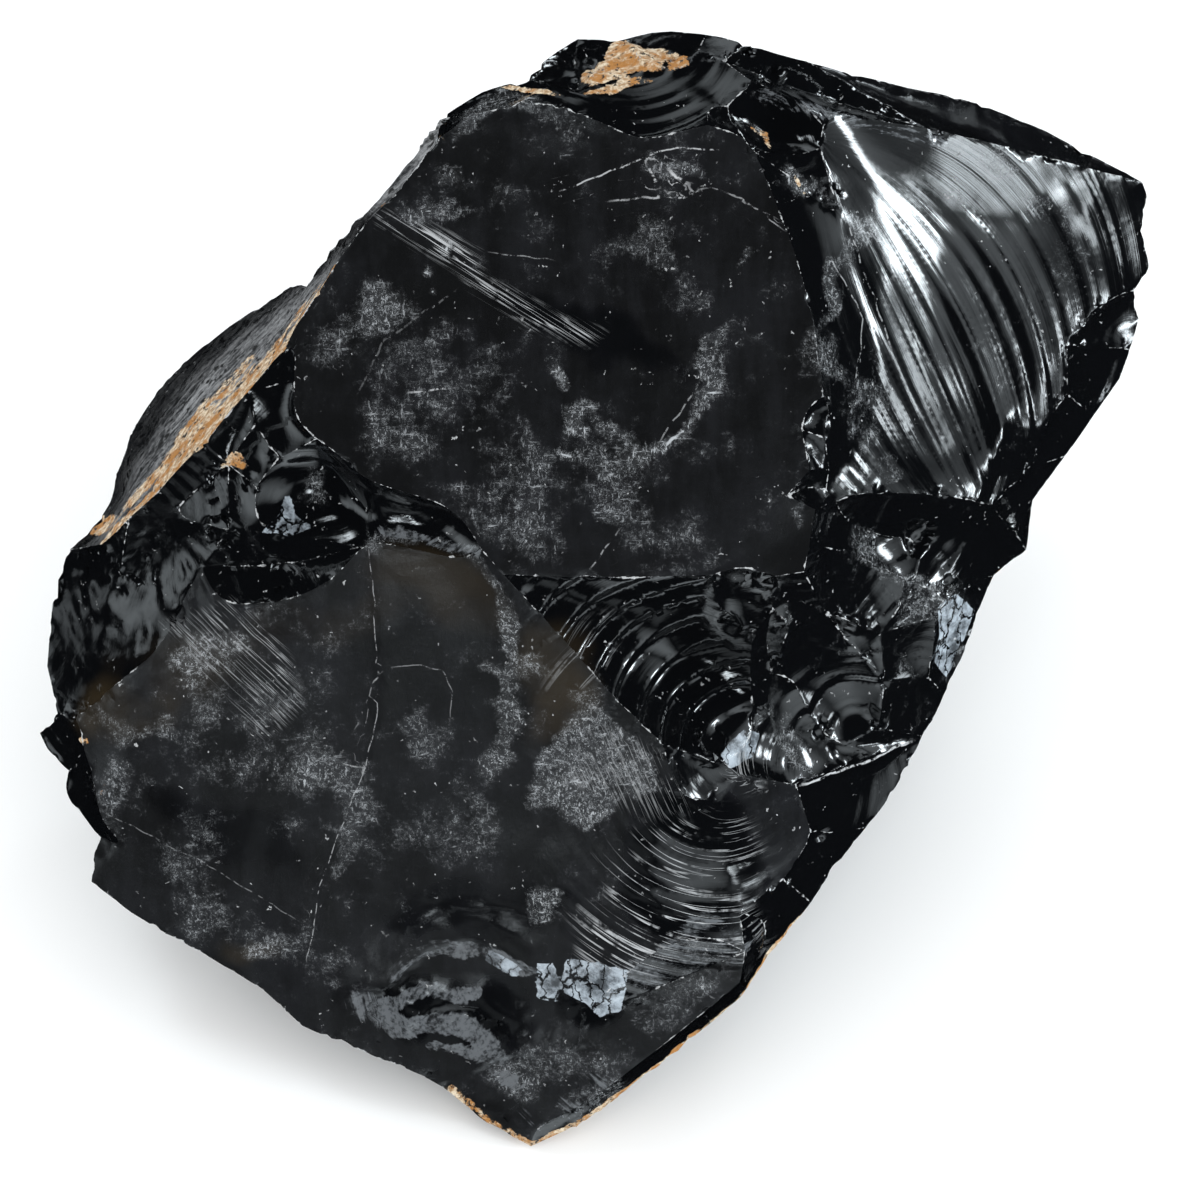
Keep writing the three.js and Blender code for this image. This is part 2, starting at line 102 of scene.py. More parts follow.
def noise(points, size, seed=0):
    """Smooth values from -1 to 1 at points of any dimension, which change over about size."""
    p = np.asarray(points, float) / size + (seed + 1) * 19.19
    cell = np.floor(p).astype(np.int64)
    f = p - cell
    f = f * f * (3 - 2 * f)
    total = np.zeros(len(p))
    primes = np.array([73856093, 19349663, 83492791])[: p.shape[1]]
    for corner in product((0, 1), repeat=p.shape[1]):
        h = ((cell + corner) * primes).sum(1) + seed * 2654435761
        h = (h ^ (h >> 13)) * 1274126177 & 0xFFFFFFFF
        h = (h ^ (h >> 15)) * 2246822519 & 0xFFFFFFFF
        value = (h >> 8 & 0xFFFF) / 32767.5 - 1
        total += value * np.prod(np.where(corner, f, 1 - f), axis=1)
    return total


def rough(points, size, seed=0, octaves=3):
    """Noise with finer and finer noise on it."""
    total = np.zeros(len(points))
    for k in range(octaves):
        total += noise(points, size / 2**k, seed + k) / 2**k
    return total / 1.6


def gathered(number, rows, count):
    """For each of count numbers, the sum of the rows that have it."""
    return np.stack([np.bincount(number, rows[:, k], count) for k in range(3)], axis=1)


def lengths(rows):
    return np.linalg.norm(rows, axis=1)


def unit(rows):
    return rows / np.maximum(lengths(rows), 1e-12)[:, None]


def nearest_on_line(points, line):
    """Distance from each point to a line of points, how far along it that is, and its length. On the
    broad face's plane the distance is negative on the right of the line."""
    line = np.array(line, float)
    best = np.full(len(points), FAR_OFF)
    signed = np.zeros(len(points))
    far = np.zeros(len(points))
    start = 0.0
    for a, b in zip(line[:-1], line[1:]):
        step = b - a
        length = np.linalg.norm(step)
        step /= length
        rel = points - a
        t = np.clip(rel @ step, 0, length)
        d = lengths(rel - t[:, None] * step)
        side = np.sign(rel[:, 1] * step[0] - rel[:, 0] * step[1]) if line.shape[1] == 2 else 1
        closer = d < best
        best = np.where(closer, d, best)
        signed = np.where(closer, side * d, signed)
        far = np.where(closer, start + t, far)
        start += length
    return signed, far, start


# ---- the skin


class Skin:
    """A closed triangle skin: places, triangles, the face each belongs to, and its ridges."""

    def __init__(self, places, tris, ridges):
        self.places = places
        self.tris = tris
        self.part = np.zeros(len(tris), int)
        self.ridges = ridges  # pairs of corner numbers, lower first

    def edges(self):
        """Each edge once, the three edges of each triangle, and which edges are ridges."""
        n = len(self.places)
        pairs = np.sort(self.tris[:, [[0, 1], [1, 2], [2, 0]]].reshape(-1, 2), axis=1)
        keys, which = np.unique(pairs[:, 0] * n + pairs[:, 1], return_inverse=True)
        ridge_keys = self.ridges[:, 0] * n + self.ridges[:, 1]
        table = np.stack([keys // n, keys % n], axis=1)
        return table, which.reshape(-1, 3), np.isin(keys, ridge_keys)

    def sides(self):
        """The two triangles that meet at each edge, in the order of edges()."""
        _, which, _ = self.edges()
        return np.argsort(which.ravel(), kind="stable").reshape(-1, 2) // 3

    def tri_normals(self):
        a, b, c = (self.places[self.tris[:, k]] for k in range(3))
        normal = np.cross(b - a, c - a)
        area = lengths(normal)
        return normal / np.maximum(area, 1e-12)[:, None], area / 2

    def normals(self):
        """The normal at each corner."""
        normal, area = self.tri_normals()
        pull = normal * area[:, None]
        return unit(sum(gathered(self.tris[:, k], pull, len(self.places)) for k in range(3)))


SAME_PLACE = 5e-6  # metres


def packed_skin():
    """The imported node's own mesh, welded, in millimetres."""
    bm = bmesh.new()
    bm.from_mesh(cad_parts[NODE].data)
    bmesh.ops.remove_doubles(bm, verts=bm.verts, dist=SAME_PLACE)
    bmesh.ops.triangulate(bm, faces=bm.faces)
    places = np.array([v.co[:] for v in bm.verts]) / MM
    tris = np.array([[v.index for v in f.verts] for f in bm.faces])
    bm.free()
    return Skin(places, tris, np.zeros((0, 2), int))


def mark_ridges(skin, fold):
    """Makes a ridge of each edge where the skin folds by more than that many degrees."""
    table, _, _ = skin.edges()
    normal, _ = skin.tri_normals()
    side = skin.sides()
    alike = np.einsum("ij,ij->i", normal[side[:, 0]], normal[side[:, 1]])
    skin.ridges = table[alike < math.cos(math.radians(fold))]


def number_faces(skin):
    """Gives the triangles between the same ridges the same face number."""
    _, _, ridge = skin.edges()
    side = skin.sides()[~ridge]
    number = np.arange(len(skin.tris))
    while True:
        least = np.minimum(number[side[:, 0]], number[side[:, 1]])
        new = number.copy()
        np.minimum.at(new, side[:, 0], least)
        np.minimum.at(new, side[:, 1], least)
        new = new[new]
        if (new == number).all():
            break
        number = new
    _, skin.part = np.unique(number, return_inverse=True)


def halve(skin, longest, curved=False):
    """Halves each edge that is longer than its limit, and returns how many it halved. With curved, every
    edge is halved and the corners move as on a subdivision surface, with the ridges kept sharp."""
    table, which, ridge = skin.edges()
    ends = skin.places[table]
    cut = np.ones(len(table), bool)
    if not curved:
        cut = lengths(ends[:, 0] - ends[:, 1]) > longest[table].min(1)
    middle = ends.mean(1)
    places = skin.places
    if curved:
        far = sum(gathered(which[:, k], places[skin.tris[:, (k + 2) % 3]], len(table)) for k in range(3))
        middle = np.where(ridge[:, None], middle, 0.75 * middle + 0.125 * far)
        places = relaxed(skin, 0.375)
    number = np.full(len(table), -1)
    number[cut] = len(places) + np.arange(cut.sum())
    rows = []
    parts = []
    mid = number[which]
    count = (mid >= 0).sum(1)
    for first in range(3):
        a, b, c = (skin.tris[:, (first + k) % 3] for k in range(3))
        ab, bc, ca = (mid[:, (first + k) % 3] for k in range(3))
        one = (count == 1) & (ab >= 0)
        two = (count == 2) & (ca < 0)
        every = (count == 3) & (first == 0)
        for who, corners in (
            (one, (a, ab, c)), (one, (ab, b, c)),
            (two, (ab, b, bc)), (two, (a, ab, bc)), (two, (a, bc, c)),
            (every, (a, ab, ca)), (every, (ab, b, bc)), (every, (ca, bc, c)), (every, (ab, bc, ca)),
        ):
            rows.append(np.stack([x[who] for x in corners], axis=1))
            parts.append(skin.part[who])
    rows.append(skin.tris[count == 0])
    parts.append(skin.part[count == 0])
    whole = table[ridge & ~cut]
    halves = [np.stack([table[ridge & cut, k], number[ridge & cut]], axis=1) for k in (0, 1)]
    skin.places = np.concatenate([places, middle[cut]])
    skin.tris = np.concatenate(rows)
    skin.part = np.concatenate(parts)
    skin.ridges = np.sort(np.concatenate([whole, *halves]), axis=1)
    return cut.sum()


def relaxed(skin, pull):
    """The places after each corner moves towards the middle of its neighbours. A corner on a ridge looks
    only along the ridge, and one where ridges meet stays."""
    table, _, ridge = skin.edges()
    n = len(skin.places)
    met = np.bincount(table[ridge].ravel(), minlength=n)
    total = np.zeros((n, 3))
    weight = np.zeros(n)
    for k in (0, 1):
        here, there = table[:, k], table[:, 1 - k]
        counts = (met[here] < 2) | (ridge & (met[here] == 2))
        weight += np.bincount(here[counts], minlength=n)
        total += gathered(here[counts], skin.places[there[counts]], n)
    held = weight == 0
    target = np.where(held[:, None], skin.places, total / np.maximum(weight, 1)[:, None])
    return skin.places + pull * (target - skin.places)


def absorb_small(skin, least_area):
    """Joins each face smaller than an area to the neighbour that it folds least against."""
    table, _, ridge = skin.edges()
    side = skin.sides()[ridge]
    normal, area = skin.tri_normals()
    alike = np.einsum("ij,ij->i", normal[side[:, 0]], normal[side[:, 1]])
    size = np.bincount(skin.part, area)
    while True:
        pair = skin.part[side]
        apart = pair[:, 0] != pair[:, 1]
        left = np.where(size > 0, size, FAR_OFF)
        who = left.argmin()
        if left[who] >= least_area:
            break
        touching = apart & (pair == who).any(1)
        best = pair[touching][alike[touching].argmax()]
        other = best[0] + best[1] - who
        skin.part[skin.part == who] = other
        size[other] += size[who]
        size[who] = 0
    skin.ridges = table[ridge][apart]
    _, skin.part = np.unique(skin.part, return_inverse=True)


RIDGE_FOLD = 21  # degrees
SMALLEST_FACE = 22  # square millimetres

# Outlines on the broad face of the scoops that are each one smooth hollow.
SCOOPS = [
    [(-17, 4.5), (20, 4.5), (20, 0), (22, -4), (27, -6), (26.5, -13), (27.5, -20), (27, -25), (22, -29),
     (11, -25.5), (4, -19), (-5, -8.5), (-12, -1)],
    [(30.5, -13), (33.5, -5), (40, -2), (46, -9), (51, -15), (50, -23), (44, -26), (38.5, -24), (35, -14)],
    [(-57, 25), (-50, 28.5), (-46.5, 26), (-42, 21.5), (-39.5, 14), (-42, 9.5), (-55, 11.5), (-62, 13.5),
     (-61, 20)],
    [(-42, 21.5), (-30, 18), (-24.5, 15), (-21, 9), (-24, 7), (-33, 9), (-40, 10.5)],
    [(22.5, 87.5), (27, 92), (31, 90.5), (36, 88), (39.5, 84), (39, 80), (35, 77.5), (27, 79.5), (25, 82)],
    [(20, 4.5), (25, 6.5), (30, 4), (30.5, -2), (27, -6), (22, -4)],
    [(-86, 4.5), (-78, 3), (-76, -4), (-79, -9), (-88, -16), (-94.5, -21), (-98, -20.5), (-100, -12),
     (-99.5, 0), (-96, 9), (-89, 10)],
]
SCOOP_MARGIN = 0.8  # an edge this near a scoop's outline lies along it
SCOOP_PASSES = 5  # how often every scoop is evened out
WIDE_PASSES = 14  # and how often more the widest one, the first of the list
SCOOP_PULL = 0.6


def inside_depth(xy, outline):
    """How far each point of the broad face lies inside an outline, or less than 0 outside it."""
    away, _, _ = nearest_on_line(xy, [*outline, outline[0]])
    inside = np.zeros(len(xy), bool)
    for (x0, y0), (x1, y1) in zip(outline, [*outline[1:], outline[0]]):
        crosses = (y0 > xy[:, 1]) != (y1 > xy[:, 1])
        inside ^= crosses & (xy[:, 0] < x0 + (xy[:, 1] - y0) * (x1 - x0) / (y1 - y0 or 1))
    return np.where(inside, 1, -1) * np.abs(away)


def outline_scoops(skin):
    """Makes ridges of the edges along each scoop's outline, and none inside it."""
    table, _, ridge = skin.edges()
    xy = to_face(skin.places)[:, :2]
    upward = (skin.normals() @ OUTWARD)[table].min(1) > 0
    for outline in SCOOPS:
        depth = inside_depth(xy, outline)[table]
        middle = inside_depth(xy[table].mean(1), outline)
        ridge |= upward & (np.abs(depth).max(1) < SCOOP_MARGIN) & (np.abs(middle) < SCOOP_MARGIN)
        ridge &= ~upward | (middle < SCOOP_MARGIN)
    skin.ridges = table[ridge]


skin = packed_skin()
mark_ridges(skin, RIDGE_FOLD)
outline_scoops(skin)
number_faces(skin)
absorb_small(skin, SMALLEST_FACE)
halve(skin, None, curved=True)
first_xy = to_face(skin.places)[:, :2]
depths = np.array([inside_depth(first_xy, outline) for outline in SCOOPS])
hollow = (depths.max(0) > 0) & (skin.normals() @ OUTWARD > 0)
for chosen, passes in ((hollow, SCOOP_PASSES), (hollow & (depths[0] > 0), WIDE_PASSES)):
    for _ in range(passes):
        skin.places = np.where(chosen[:, None], relaxed(skin, SCOOP_PULL), skin.places)

# How long an edge should be on glossy faces, dull faces and the faces turned away from the broad face's
# front, and within RIDGE_REACH of a ridge. An edge more than TOO_LONG times that is halved.
GLOSSY_EDGE = 0.85
DULL_EDGE = 1.25
HIDDEN_EDGE = 2.4
RIDGE_EDGE = 0.75
RIDGE_REACH = 1.5
TOO_LONG = 1.35
HALVINGS = 5
LAST_PASSES = 10
LAST_PULL = 0.5


def point_tree(points):
    tree = kdtree.KDTree(len(points))
    for k, p in enumerate(points):
        tree.insert(p, k)
    tree.balance()
    return tree


def distance_to_ridges(skin):
    """For each corner, the distance to the nearest ridge."""
    on_ridge = np.unique(skin.ridges)
    tree = point_tree(np.concatenate([skin.places[on_ridge], skin.places[skin.ridges].mean(1)]))
    return np.array([tree.find(p)[2] for p in skin.places])


# The large faces with a look of their own, each found from a point on it in the broad face's frame.
UPPER_FACE = (0, 45)
LOWER_FACE = (-60, -20)
LEFT_FLANK = (-72, 38)
TOP_STRIP = (60, 87)
FAN = (62, 52)


def part_at(skin, spot):
    """The number of the upward face at a point of the broad face."""
    middle = to_face(skin.places[skin.tris].mean(1))
    normal, _ = skin.tri_normals()
    away = lengths(middle[:, :2] - spot) + FAR_OFF * (normal @ OUTWARD < 0.05)
    return skin.part[away.argmin()]


upper_part = part_at(skin, UPPER_FACE)
lower_part = part_at(skin, LOWER_FACE)
flank_part = part_at(skin, LEFT_FLANK)
strip_part = part_at(skin, TOP_STRIP)
fan_part = part_at(skin, FAN)

for _ in range(HALVINGS):
    dull = np.isin(skin.part, [upper_part, lower_part, flank_part, strip_part])
    corner_dull = np.bincount(skin.tris.ravel(), np.repeat(dull, 3), len(skin.places)) > 0
    seen = smoothstep(-0.15, 0.1, skin.normals() @ OUTWARD)
    limit = np.where(corner_dull, DULL_EDGE, GLOSSY_EDGE)
    near = distance_to_ridges(skin) < RIDGE_REACH
    limit = np.where(near, np.minimum(limit, RIDGE_EDGE), limit)
    limit = HIDDEN_EDGE + (limit - HIDDEN_EDGE) * seen
    if not halve(skin, limit * TOO_LONG):
        break
for _ in range(LAST_PASSES):
    skin.places = relaxed(skin, LAST_PULL)

# ---- ripples, ribs, grain and chips

# Where one blow left its own ripples: the place on the broad face and its reach, where the blow fell, the
# ripples' wavelength and height, and how much of them runs outward as ribs.
BLOWS = [
    ((6, -9), 23, (29, -33), 4.8, 0.62, 0.04),
    ((12, -52), 22, (24, -26), 3.0, 0.20, 0.2),
    ((44, -19), 12, (33, -24), 3.4, 0.34, 0.05),
    ((26, -1), 7, (25, 7), 1.8, 0.05, 0.1),
    ((-51, 19), 12, (-45, 27), 2.8, 0.13, 0.2),
    ((-31, 13), 9, (-35, 20), 2.4, 0.11, 0.2),
    ((31, 85), 9, (25, 79), 2.4, 0.11, 0.2),
    ((-84, -2), 18, (-77, 16), 1.1, 0.30, 0.92),
    ((46, 5), 13, (37, 14), 2.8, 0.14, 0.4),
    ((62, 10), 12, (52, 22), 3.0, 0.15, 0.2),
    ((-22, -74), 17, (-20, -58), 4.2, 0.28, 0.1),
]
# How far apart and how high the swells of the large faces are.
UPPER_SWELL = (14, 0.10)
LOWER_SWELL = (12, 0.35)
FLANK_SWELL = (9, 0.2)
STRIP_SWELL = (8, 0.25)
# The ribs of the fan run out from its apex, bend down and spread.
FAN_APEX = (38, 82)
FAN_RIB = (2.8, 0.42)  # half width FAN_RIB_AT from the apex, and height
FAN_RIB_AT = 40
FAN_FULL_HEIGHT = 42  # how far from the apex the ribs reach their full height
FAN_BEND = 0.85  # degrees that a rib turns down per millimetre, near the top of the fan
FAN_BEND_START = 12  # millimetres from the apex
FAN_SPREAD = 65  # degrees below level where the ribs no longer bend
RIBS_AT = 12  # how far from any other blow its ribs are as wide as its ripples
# The swells of the left flank run down it, this long and this wide.
DOWN_FLANK = np.array([-0.60, -0.76, -0.22])
ACROSS_FLANK = np.array([-0.52, 0.60, -0.60])
FLANK_STREAKS = (9, 2.4)

rng = np.random.default_rng(SEED)
parts = skin.part.max() + 1
part_luck = rng.random((parts, 4))
tri_normal, tri_area = skin.tri_normals()
part_area = np.bincount(skin.part, tri_area, parts)
part_normal = unit(gathered(skin.part, tri_normal * tri_area[:, None], parts))
part_middle = gathered(skin.part, skin.places[skin.tris].mean(1) * tri_area[:, None], parts)
part_middle /= part_area[:, None]
part_facing = part_normal @ OUTWARD


def part_blow(part):
    """A corner of a face that its ripples run out from, picked from its outline."""
    outline = np.unique(skin.tris[skin.part == part])
    outline = outline[np.isin(outline, skin.ridges)]
    if not len(outline):
        outline = np.unique(skin.tris[skin.part == part])
    return skin.places[outline[int(part_luck[part, 0] * len(outline))]]


corners = skin.tris.ravel()
corner_part = np.repeat(skin.part, 3)
skin_part = np.zeros(len(skin.places), int)
skin_part[corners] = corner_part
face_places = to_face(skin.places)
corner_face = face_places[corners]
corner_at = skin.places[corners]


def out_from(at, blow, towards, normal):
    """Distance from a blow, and how far round it, for each corner."""
    rel = at - blow
    ahead = towards - blow
    ahead = unit(ahead - normal * np.einsum("ij,ij->i", ahead, normal)[:, None])
    aside = np.cross(normal, ahead)
    angle = np.arctan2(np.einsum("ij,ij->i", rel, aside), np.einsum("ij,ij->i", rel, ahead))
    return lengths(rel), angle


blow_of = np.array([part_blow(p) for p in range(parts)])
ring, angle = out_from(corner_at, blow_of[corner_part], part_middle[corner_part],
                       part_normal[corner_part])
# Larger faces have wider ripples, and each face has its own luck with their width, height and ribs.
wave = (1.6 + 2.2 * part_luck[:, 1] + 2.5 * smoothstep(150, 1500, part_area))[corner_part]
height = wave * (0.025 + 0.035 * part_luck[:, 2])[corner_part]
ribbed = (0.5 * part_luck[:, 3])[corner_part]
for part, swell in (
    (upper_part, UPPER_SWELL), (lower_part, LOWER_SWELL),
    (flank_part, FLANK_SWELL), (strip_part, STRIP_SWELL),
):
    wave[corner_part == part], height[corner_part == part] = swell

fan = corner_part == fan_part
upward = part_facing[corner_part] > -0.2
for place, reach, blow, wave_here, height_here, ribbed_here in BLOWS:
    away = lengths(corner_face[:, :2] - place)
    share = (1 - smoothstep(0.75 * reach, 1.15 * reach, away)) * upward * ~fan
    share[corner_part == upper_part] = 0
    inside = share > 0.02
    depth = face_places[lengths(face_places[:, :2] - blow).argmin(), 2]
    rel = corner_face[inside] - (*blow, depth)
    middle_way = np.arctan2(place[1] - blow[1], place[0] - blow[0])
    bearing = np.arctan2(rel[:, 1], rel[:, 0]) - middle_way
    ring[inside] = lengths(rel)
    angle[inside] = (bearing + np.pi) % (2 * np.pi) - np.pi
    wave[inside] = wave_here
    ribbed[inside] = ribbed_here
    height[inside] = height_here * share[inside]

across = ring / wave
along = angle * RIBS_AT / wave

from_apex = corner_face[fan][:, :2] - FAN_APEX
out_fan = lengths(from_apex)
down = np.degrees(np.arctan2(-from_apex[:, 1], from_apex[:, 0]))
bend = FAN_BEND * (out_fan - FAN_BEND_START)
rib_angle = (down - bend) / np.maximum(1 - bend / FAN_SPREAD, 0.26)
across[fan] = out_fan / 30
along[fan] = np.radians(rib_angle) * FAN_RIB_AT / FAN_RIB[0]
ribbed[fan] = 1
height[fan] = FAN_RIB[1] * np.clip(out_fan / FAN_FULL_HEIGHT, 0, 1) ** 2
height[fan] *= 0.45 + 0.55 * smoothstep(15, 42, down)

flank = corner_part == flank_part
across[flank] = corner_face[flank] @ ACROSS_FLANK / FLANK_STREAKS[1]
along[flank] = corner_face[flank] @ DOWN_FLANK / FLANK_STREAKS[0]

# The lift of the surface: terraced rings across the way the blow ran, or ribs along it.
luck = part_luck[corner_part, 0] * 50


def uneven(u, v, seed):
    """Noise over the ripples' own lines, with its own luck on each face."""
    return noise(np.stack([u, v, luck], axis=1), 1, seed)


bent = across + 0.35 * uneven(across / 2, along / 4, 11)
phase = 2 * np.pi * bent
rings_up = 0.7 * (np.sin(phase) + 0.38 * np.sin(2 * phase) + 0.12 * np.sin(3 * phase))
rings_up *= 0.75 + 0.4 * uneven(bent, along / 2, 15)
rings_up += 0.15 * uneven(across * 2.3, along / 4, 12)
ribs_up = uneven(along, across / 3, 13) + 0.34 * np.abs(uneven(along * 2.2, across / 2, 14))
ribs_up += 0.12 * uneven(along * 4, across, 16)
lift = height * ((1 - ribbed) * rings_up + ribbed * ribs_up)

# Ledges where the surface steps down, on the right of each line of points of the broad face: the line,
# the height of the step and how far back its upper side runs out.
LEDGES = [
    ([(-41, -74), (-37, -68), (-30, -62.5), (-22, -61), (-14, -65), (-8, -68)], 1.1, 9),
    ([(-36, -79), (-31, -74), (-24, -73), (-17, -77), (-12, -84)], 1.0, 7),
    ([(-46, -75), (-43, -70.5), (-38, -70), (-35, -75), (-37, -81)], 0.9, 6),
    ([(-25, -86), (-18, -82), (-10, -83), (-2, -80), (4, -74)], 0.7, 6),
    ([(-33, 76), (-27, 82.5), (-19, 86), (-10, 85), (-2, 82), (6, 79)], 0.5, 5),
    ([(-41, 12), (-40, 0), (-39.5, -20), (-42, -30), (-46, -40), (-50, -50), (-53, -66)], 0.22, 5),
    ([(-88, -19), (-70, -10), (-56, -6), (-44, -2)], 0.35, 6),
    ([(14, 62), (22, 50), (30, 44), (37, 42)], 0.22, 6),
    ([(-44, 36), (-36, 48), (-24, 55)], 0.25, 6),
]
# The worn rim of the left flank, which is rougher than the rest of it.
FLANK_RIM = [(-44, 68), (-57, 58), (-68, 50), (-79, 40), (-86, 28), (-94, 12)]
FLANK_GRAIN = 0.30
STRIP_GRAIN = 0.22
RIM_GRAIN = 0.7  # added to the flank's

xy = face_places[:, :2]
ragged_line = xy + 0.8 * np.stack([noise(xy, 3, 51), noise(xy, 3, 52)], axis=1)
rise = np.zeros(len(skin.places))
for line, step, back in LEDGES:
    away, far_along, length = nearest_on_line(ragged_line, line)
    fade = smoothstep(0, 6, far_along) * smoothstep(0, 6, length - far_along)
    rise += step * fade * smoothstep(-0.35, 0.35, away) * (1 - smoothstep(0.3 * back, back, away))
rise *= smoothstep(0.2, 0.5, skin.normals() @ OUTWARD)

rim_away, _, _ = nearest_on_line(xy, FLANK_RIM)
rim_near = flank * (1 - smoothstep(2, 7, np.abs(rim_away)))[corners]
grain = np.zeros(parts)
grain[flank_part] = FLANK_GRAIN
grain[strip_part] = STRIP_GRAIN
grain_here = grain[corner_part] + RIM_GRAIN * rim_near
lift += grain_here * rough(corner_at, 2.6 + 2.4 * (rim_near > 0.3)[:, None], 21, 3)

ridge_distance = distance_to_ridges(skin)
meeting = np.bincount(corners, minlength=len(skin.places))
lift_at = np.bincount(corners, lift, len(skin.places)) / meeting
skin_normals = skin.normals()
skin.places = skin.places + skin_normals * (lift_at + rise)[:, None]

# Chips along the ridges: how many, their least radius and how much larger some are, their least depth
# and how much deeper some are as shares of the radius, and how far above the floor they start.
CHIPS = 700
CHIP_RADIUS = (0.7, 1.5)
CHIP_DEPTH = (0.15, 0.2)
CHIP_CLEARANCE = 1.5
FLOOR_LEVEL = low[2]


def chip(skin, spot, way, radius, depth):
    """Presses a ragged hollow into the skin: radius across the surface, depth down, way pointing out."""
    ball = (radius**2 + depth**2) / (2 * depth)
    centre = spot + way * (ball - depth)
    for _, k, _ in tree.find_range(centre, ball):
        p = skin.places[k]
        rel = p - centre
        up = rel @ way
        aside = rel - up * way
        level = -math.sqrt(max(ball**2 - ragged[k] * (aside @ aside), 0))
        if up > level and up - level < 2.5 * depth:
            skin.places[k] = p - way * (up - level)


ridge_ends = skin.places[skin.ridges]
ridge_length = lengths(ridge_ends[:, 0] - ridge_ends[:, 1])
normals_now = skin.normals()
tree = point_tree(skin.places)
ragged = 1.25 + 0.75 * noise(skin.places, 1.1, 61)
for e in rng.choice(len(skin.ridges), CHIPS, p=ridge_length / ridge_length.sum()):
    spot = ridge_ends[e].mean(0)
    way = normals_now[skin.ridges[e]].mean(0) + 0.5 * rng.normal(size=3)
    way /= np.linalg.norm(way)
    radius = CHIP_RADIUS[0] + CHIP_RADIUS[1] * rng.random() ** 3
    if spot[2] > FLOOR_LEVEL + CHIP_CLEARANCE:
        chip(skin, spot, way, radius, radius * (CHIP_DEPTH[0] + CHIP_DEPTH[1] * rng.random()))

skin.places[:, 2] = np.maximum(skin.places[:, 2], FLOOR_LEVEL)

# ---- marks on the faces

# Oval places on the broad face: x, y, half sizes along and across, degrees turned, and amount. First the
# scuffs, whose broad soft ones also paint a sheen onto the dull faces.
SCUFFS_AND_SHEEN = [
    (44, 55, 3, 13, 6, 1.0), (45, 33, 5, 9, 0, 0.9), (52, 22, 6, 3, 0, 0.6), (-41, 51, 6, 7, 30, 0.9),
    (-45, 45, 4, 4, 0, 0.7), (-30, 38, 14, 9, 10, 0.45), (-33, 31, 10, 8, 0, 0.62),
    (-12, 24, 13, 8, -10, 0.62), (-14, 14, 12, 6, 0, 0.5), (1, 27, 9, 6, -20, 0.7), (6, 18, 6, 6, 0, 0.62),
    (-2, 36, 5, 2.2, 0, 1.15), (4, 33, 3.5, 1.6, -25, 1.2), (9, 28, 4, 2.5, 10, 1.1),
    (13, 30, 1.3, 3.6, -30, 1.7), (-4, 29.5, 2.4, 0.8, 0, 1.5), (-6, 41, 2.2, 1.4, 0, 1.3),
    (20, 40, 2, 7, -12, 1.05), (17, 34, 3, 5, -30, 0.85), (9, 61, 6, 9, 25, 0.55), (14, 52, 5, 5, 0, 0.5),
    (25, 57, 2.5, 1.5, 0, 0.9), (-26, 58.5, 1.1, 1.3, 0, 1.7), (-31, 56, 1.2, 1.6, 20, 1.5),
    (-30.5, 52, 1.3, 0.9, 0, 1.5), (-25, 57.2, 0.9, 0.7, 0, 1.5), (-28, 68, 9, 3, -10, 0.7),
    (-28, 77, 4, 3, 0, 0.7), (-18, 85, 11, 2.5, -8, 1.0), (-14, 88, 7, 2, -30, 1.0),
    (-3, 84, 5, 3, 0, 0.6), (30, 13, 2, 2.5, 0, 0.8), (14, 9, 8, 6, 0, 0.35), (13, 75, 5, 1.5, -35, 0.9),
    (-68, -9, 8, 7, -30, 0.95), (-70, -20, 7, 6, -40, 0.75), (-83, -22, 6, 2, -10, 0.8),
    (-53, -32, 9, 7, 25, 0.75), (-47, -42, 2.5, 8, -12, 0.8), (-17, -3, 3, 9, 15, 1.0),
    (-14, -11, 6, 2.4, 25, 1.2), (-19, -14, 5, 1.6, -10, 1.25), (-18, -23, 3.5, 9, 5, 0.95),
    (-23, -40, 7, 10, 20, 0.6), (-33, -24, 6, 8, 0, 0.5), (-36, 8, 4, 2, -20, 1.0),
    (-22, 4, 8, 2.5, -25, 0.8), (-5, -14, 4, 3, 0, 0.5), (-65, -61, 5, 4, -30, 1.1),
    (-75, -52, 12, 6, -20, 0.6), (-57, -61, 9, 5, -30, 0.55), (-88, -32, 4, 6, 0, 0.6),
    (-10, -55, 3, 1.5, 0, 1.0), (17, -64, 8, 5, -15, 0.7), (-2, -82, 9, 6, 0, 0.7),
    (-13, -83, 4, 6, 20, 0.7), (2, -92, 9, 5, 0, 0.7), (-60, -22, 20, 12, 0, 0.38),
    (-35, -38, 18, 12, 0, 0.36), (-80, -40, 10, 8, 0, 0.38), (-50, -5, 14, 5, 0, 0.45),
    (43, 60, 2.6, 13, 6, 0.95), (44, 42, 4, 9, 0, 0.7), (39, 72, 2.5, 4, 0, 1.0), (52, 6, 11, 4, -25, 0.9),
    (58, -2, 5, 8, 20, 0.8), (70, 78, 12, 2, -20, 0.6), (84, 66, 8, 6, -30, 0.5),
    (36, -25, 4, 9, -20, 0.6), (-54, 20, 6, 5, 20, 0.7),
]
# Frosted places with crisp outlines on the broad face, and how frosted each is.
FROSTED = [
    ([(-2, -17), (3, -21.5), (9, -28), (10.5, -34), (3, -37), (-3, -42.5), (-8, -37), (-13, -38.5),
      (-11, -28)], 1.0),
    ([(8, -66), (12, -61), (18, -60), (25, -62.5), (24, -67), (18, -73), (10, -80), (5, -76)], 0.55),
]
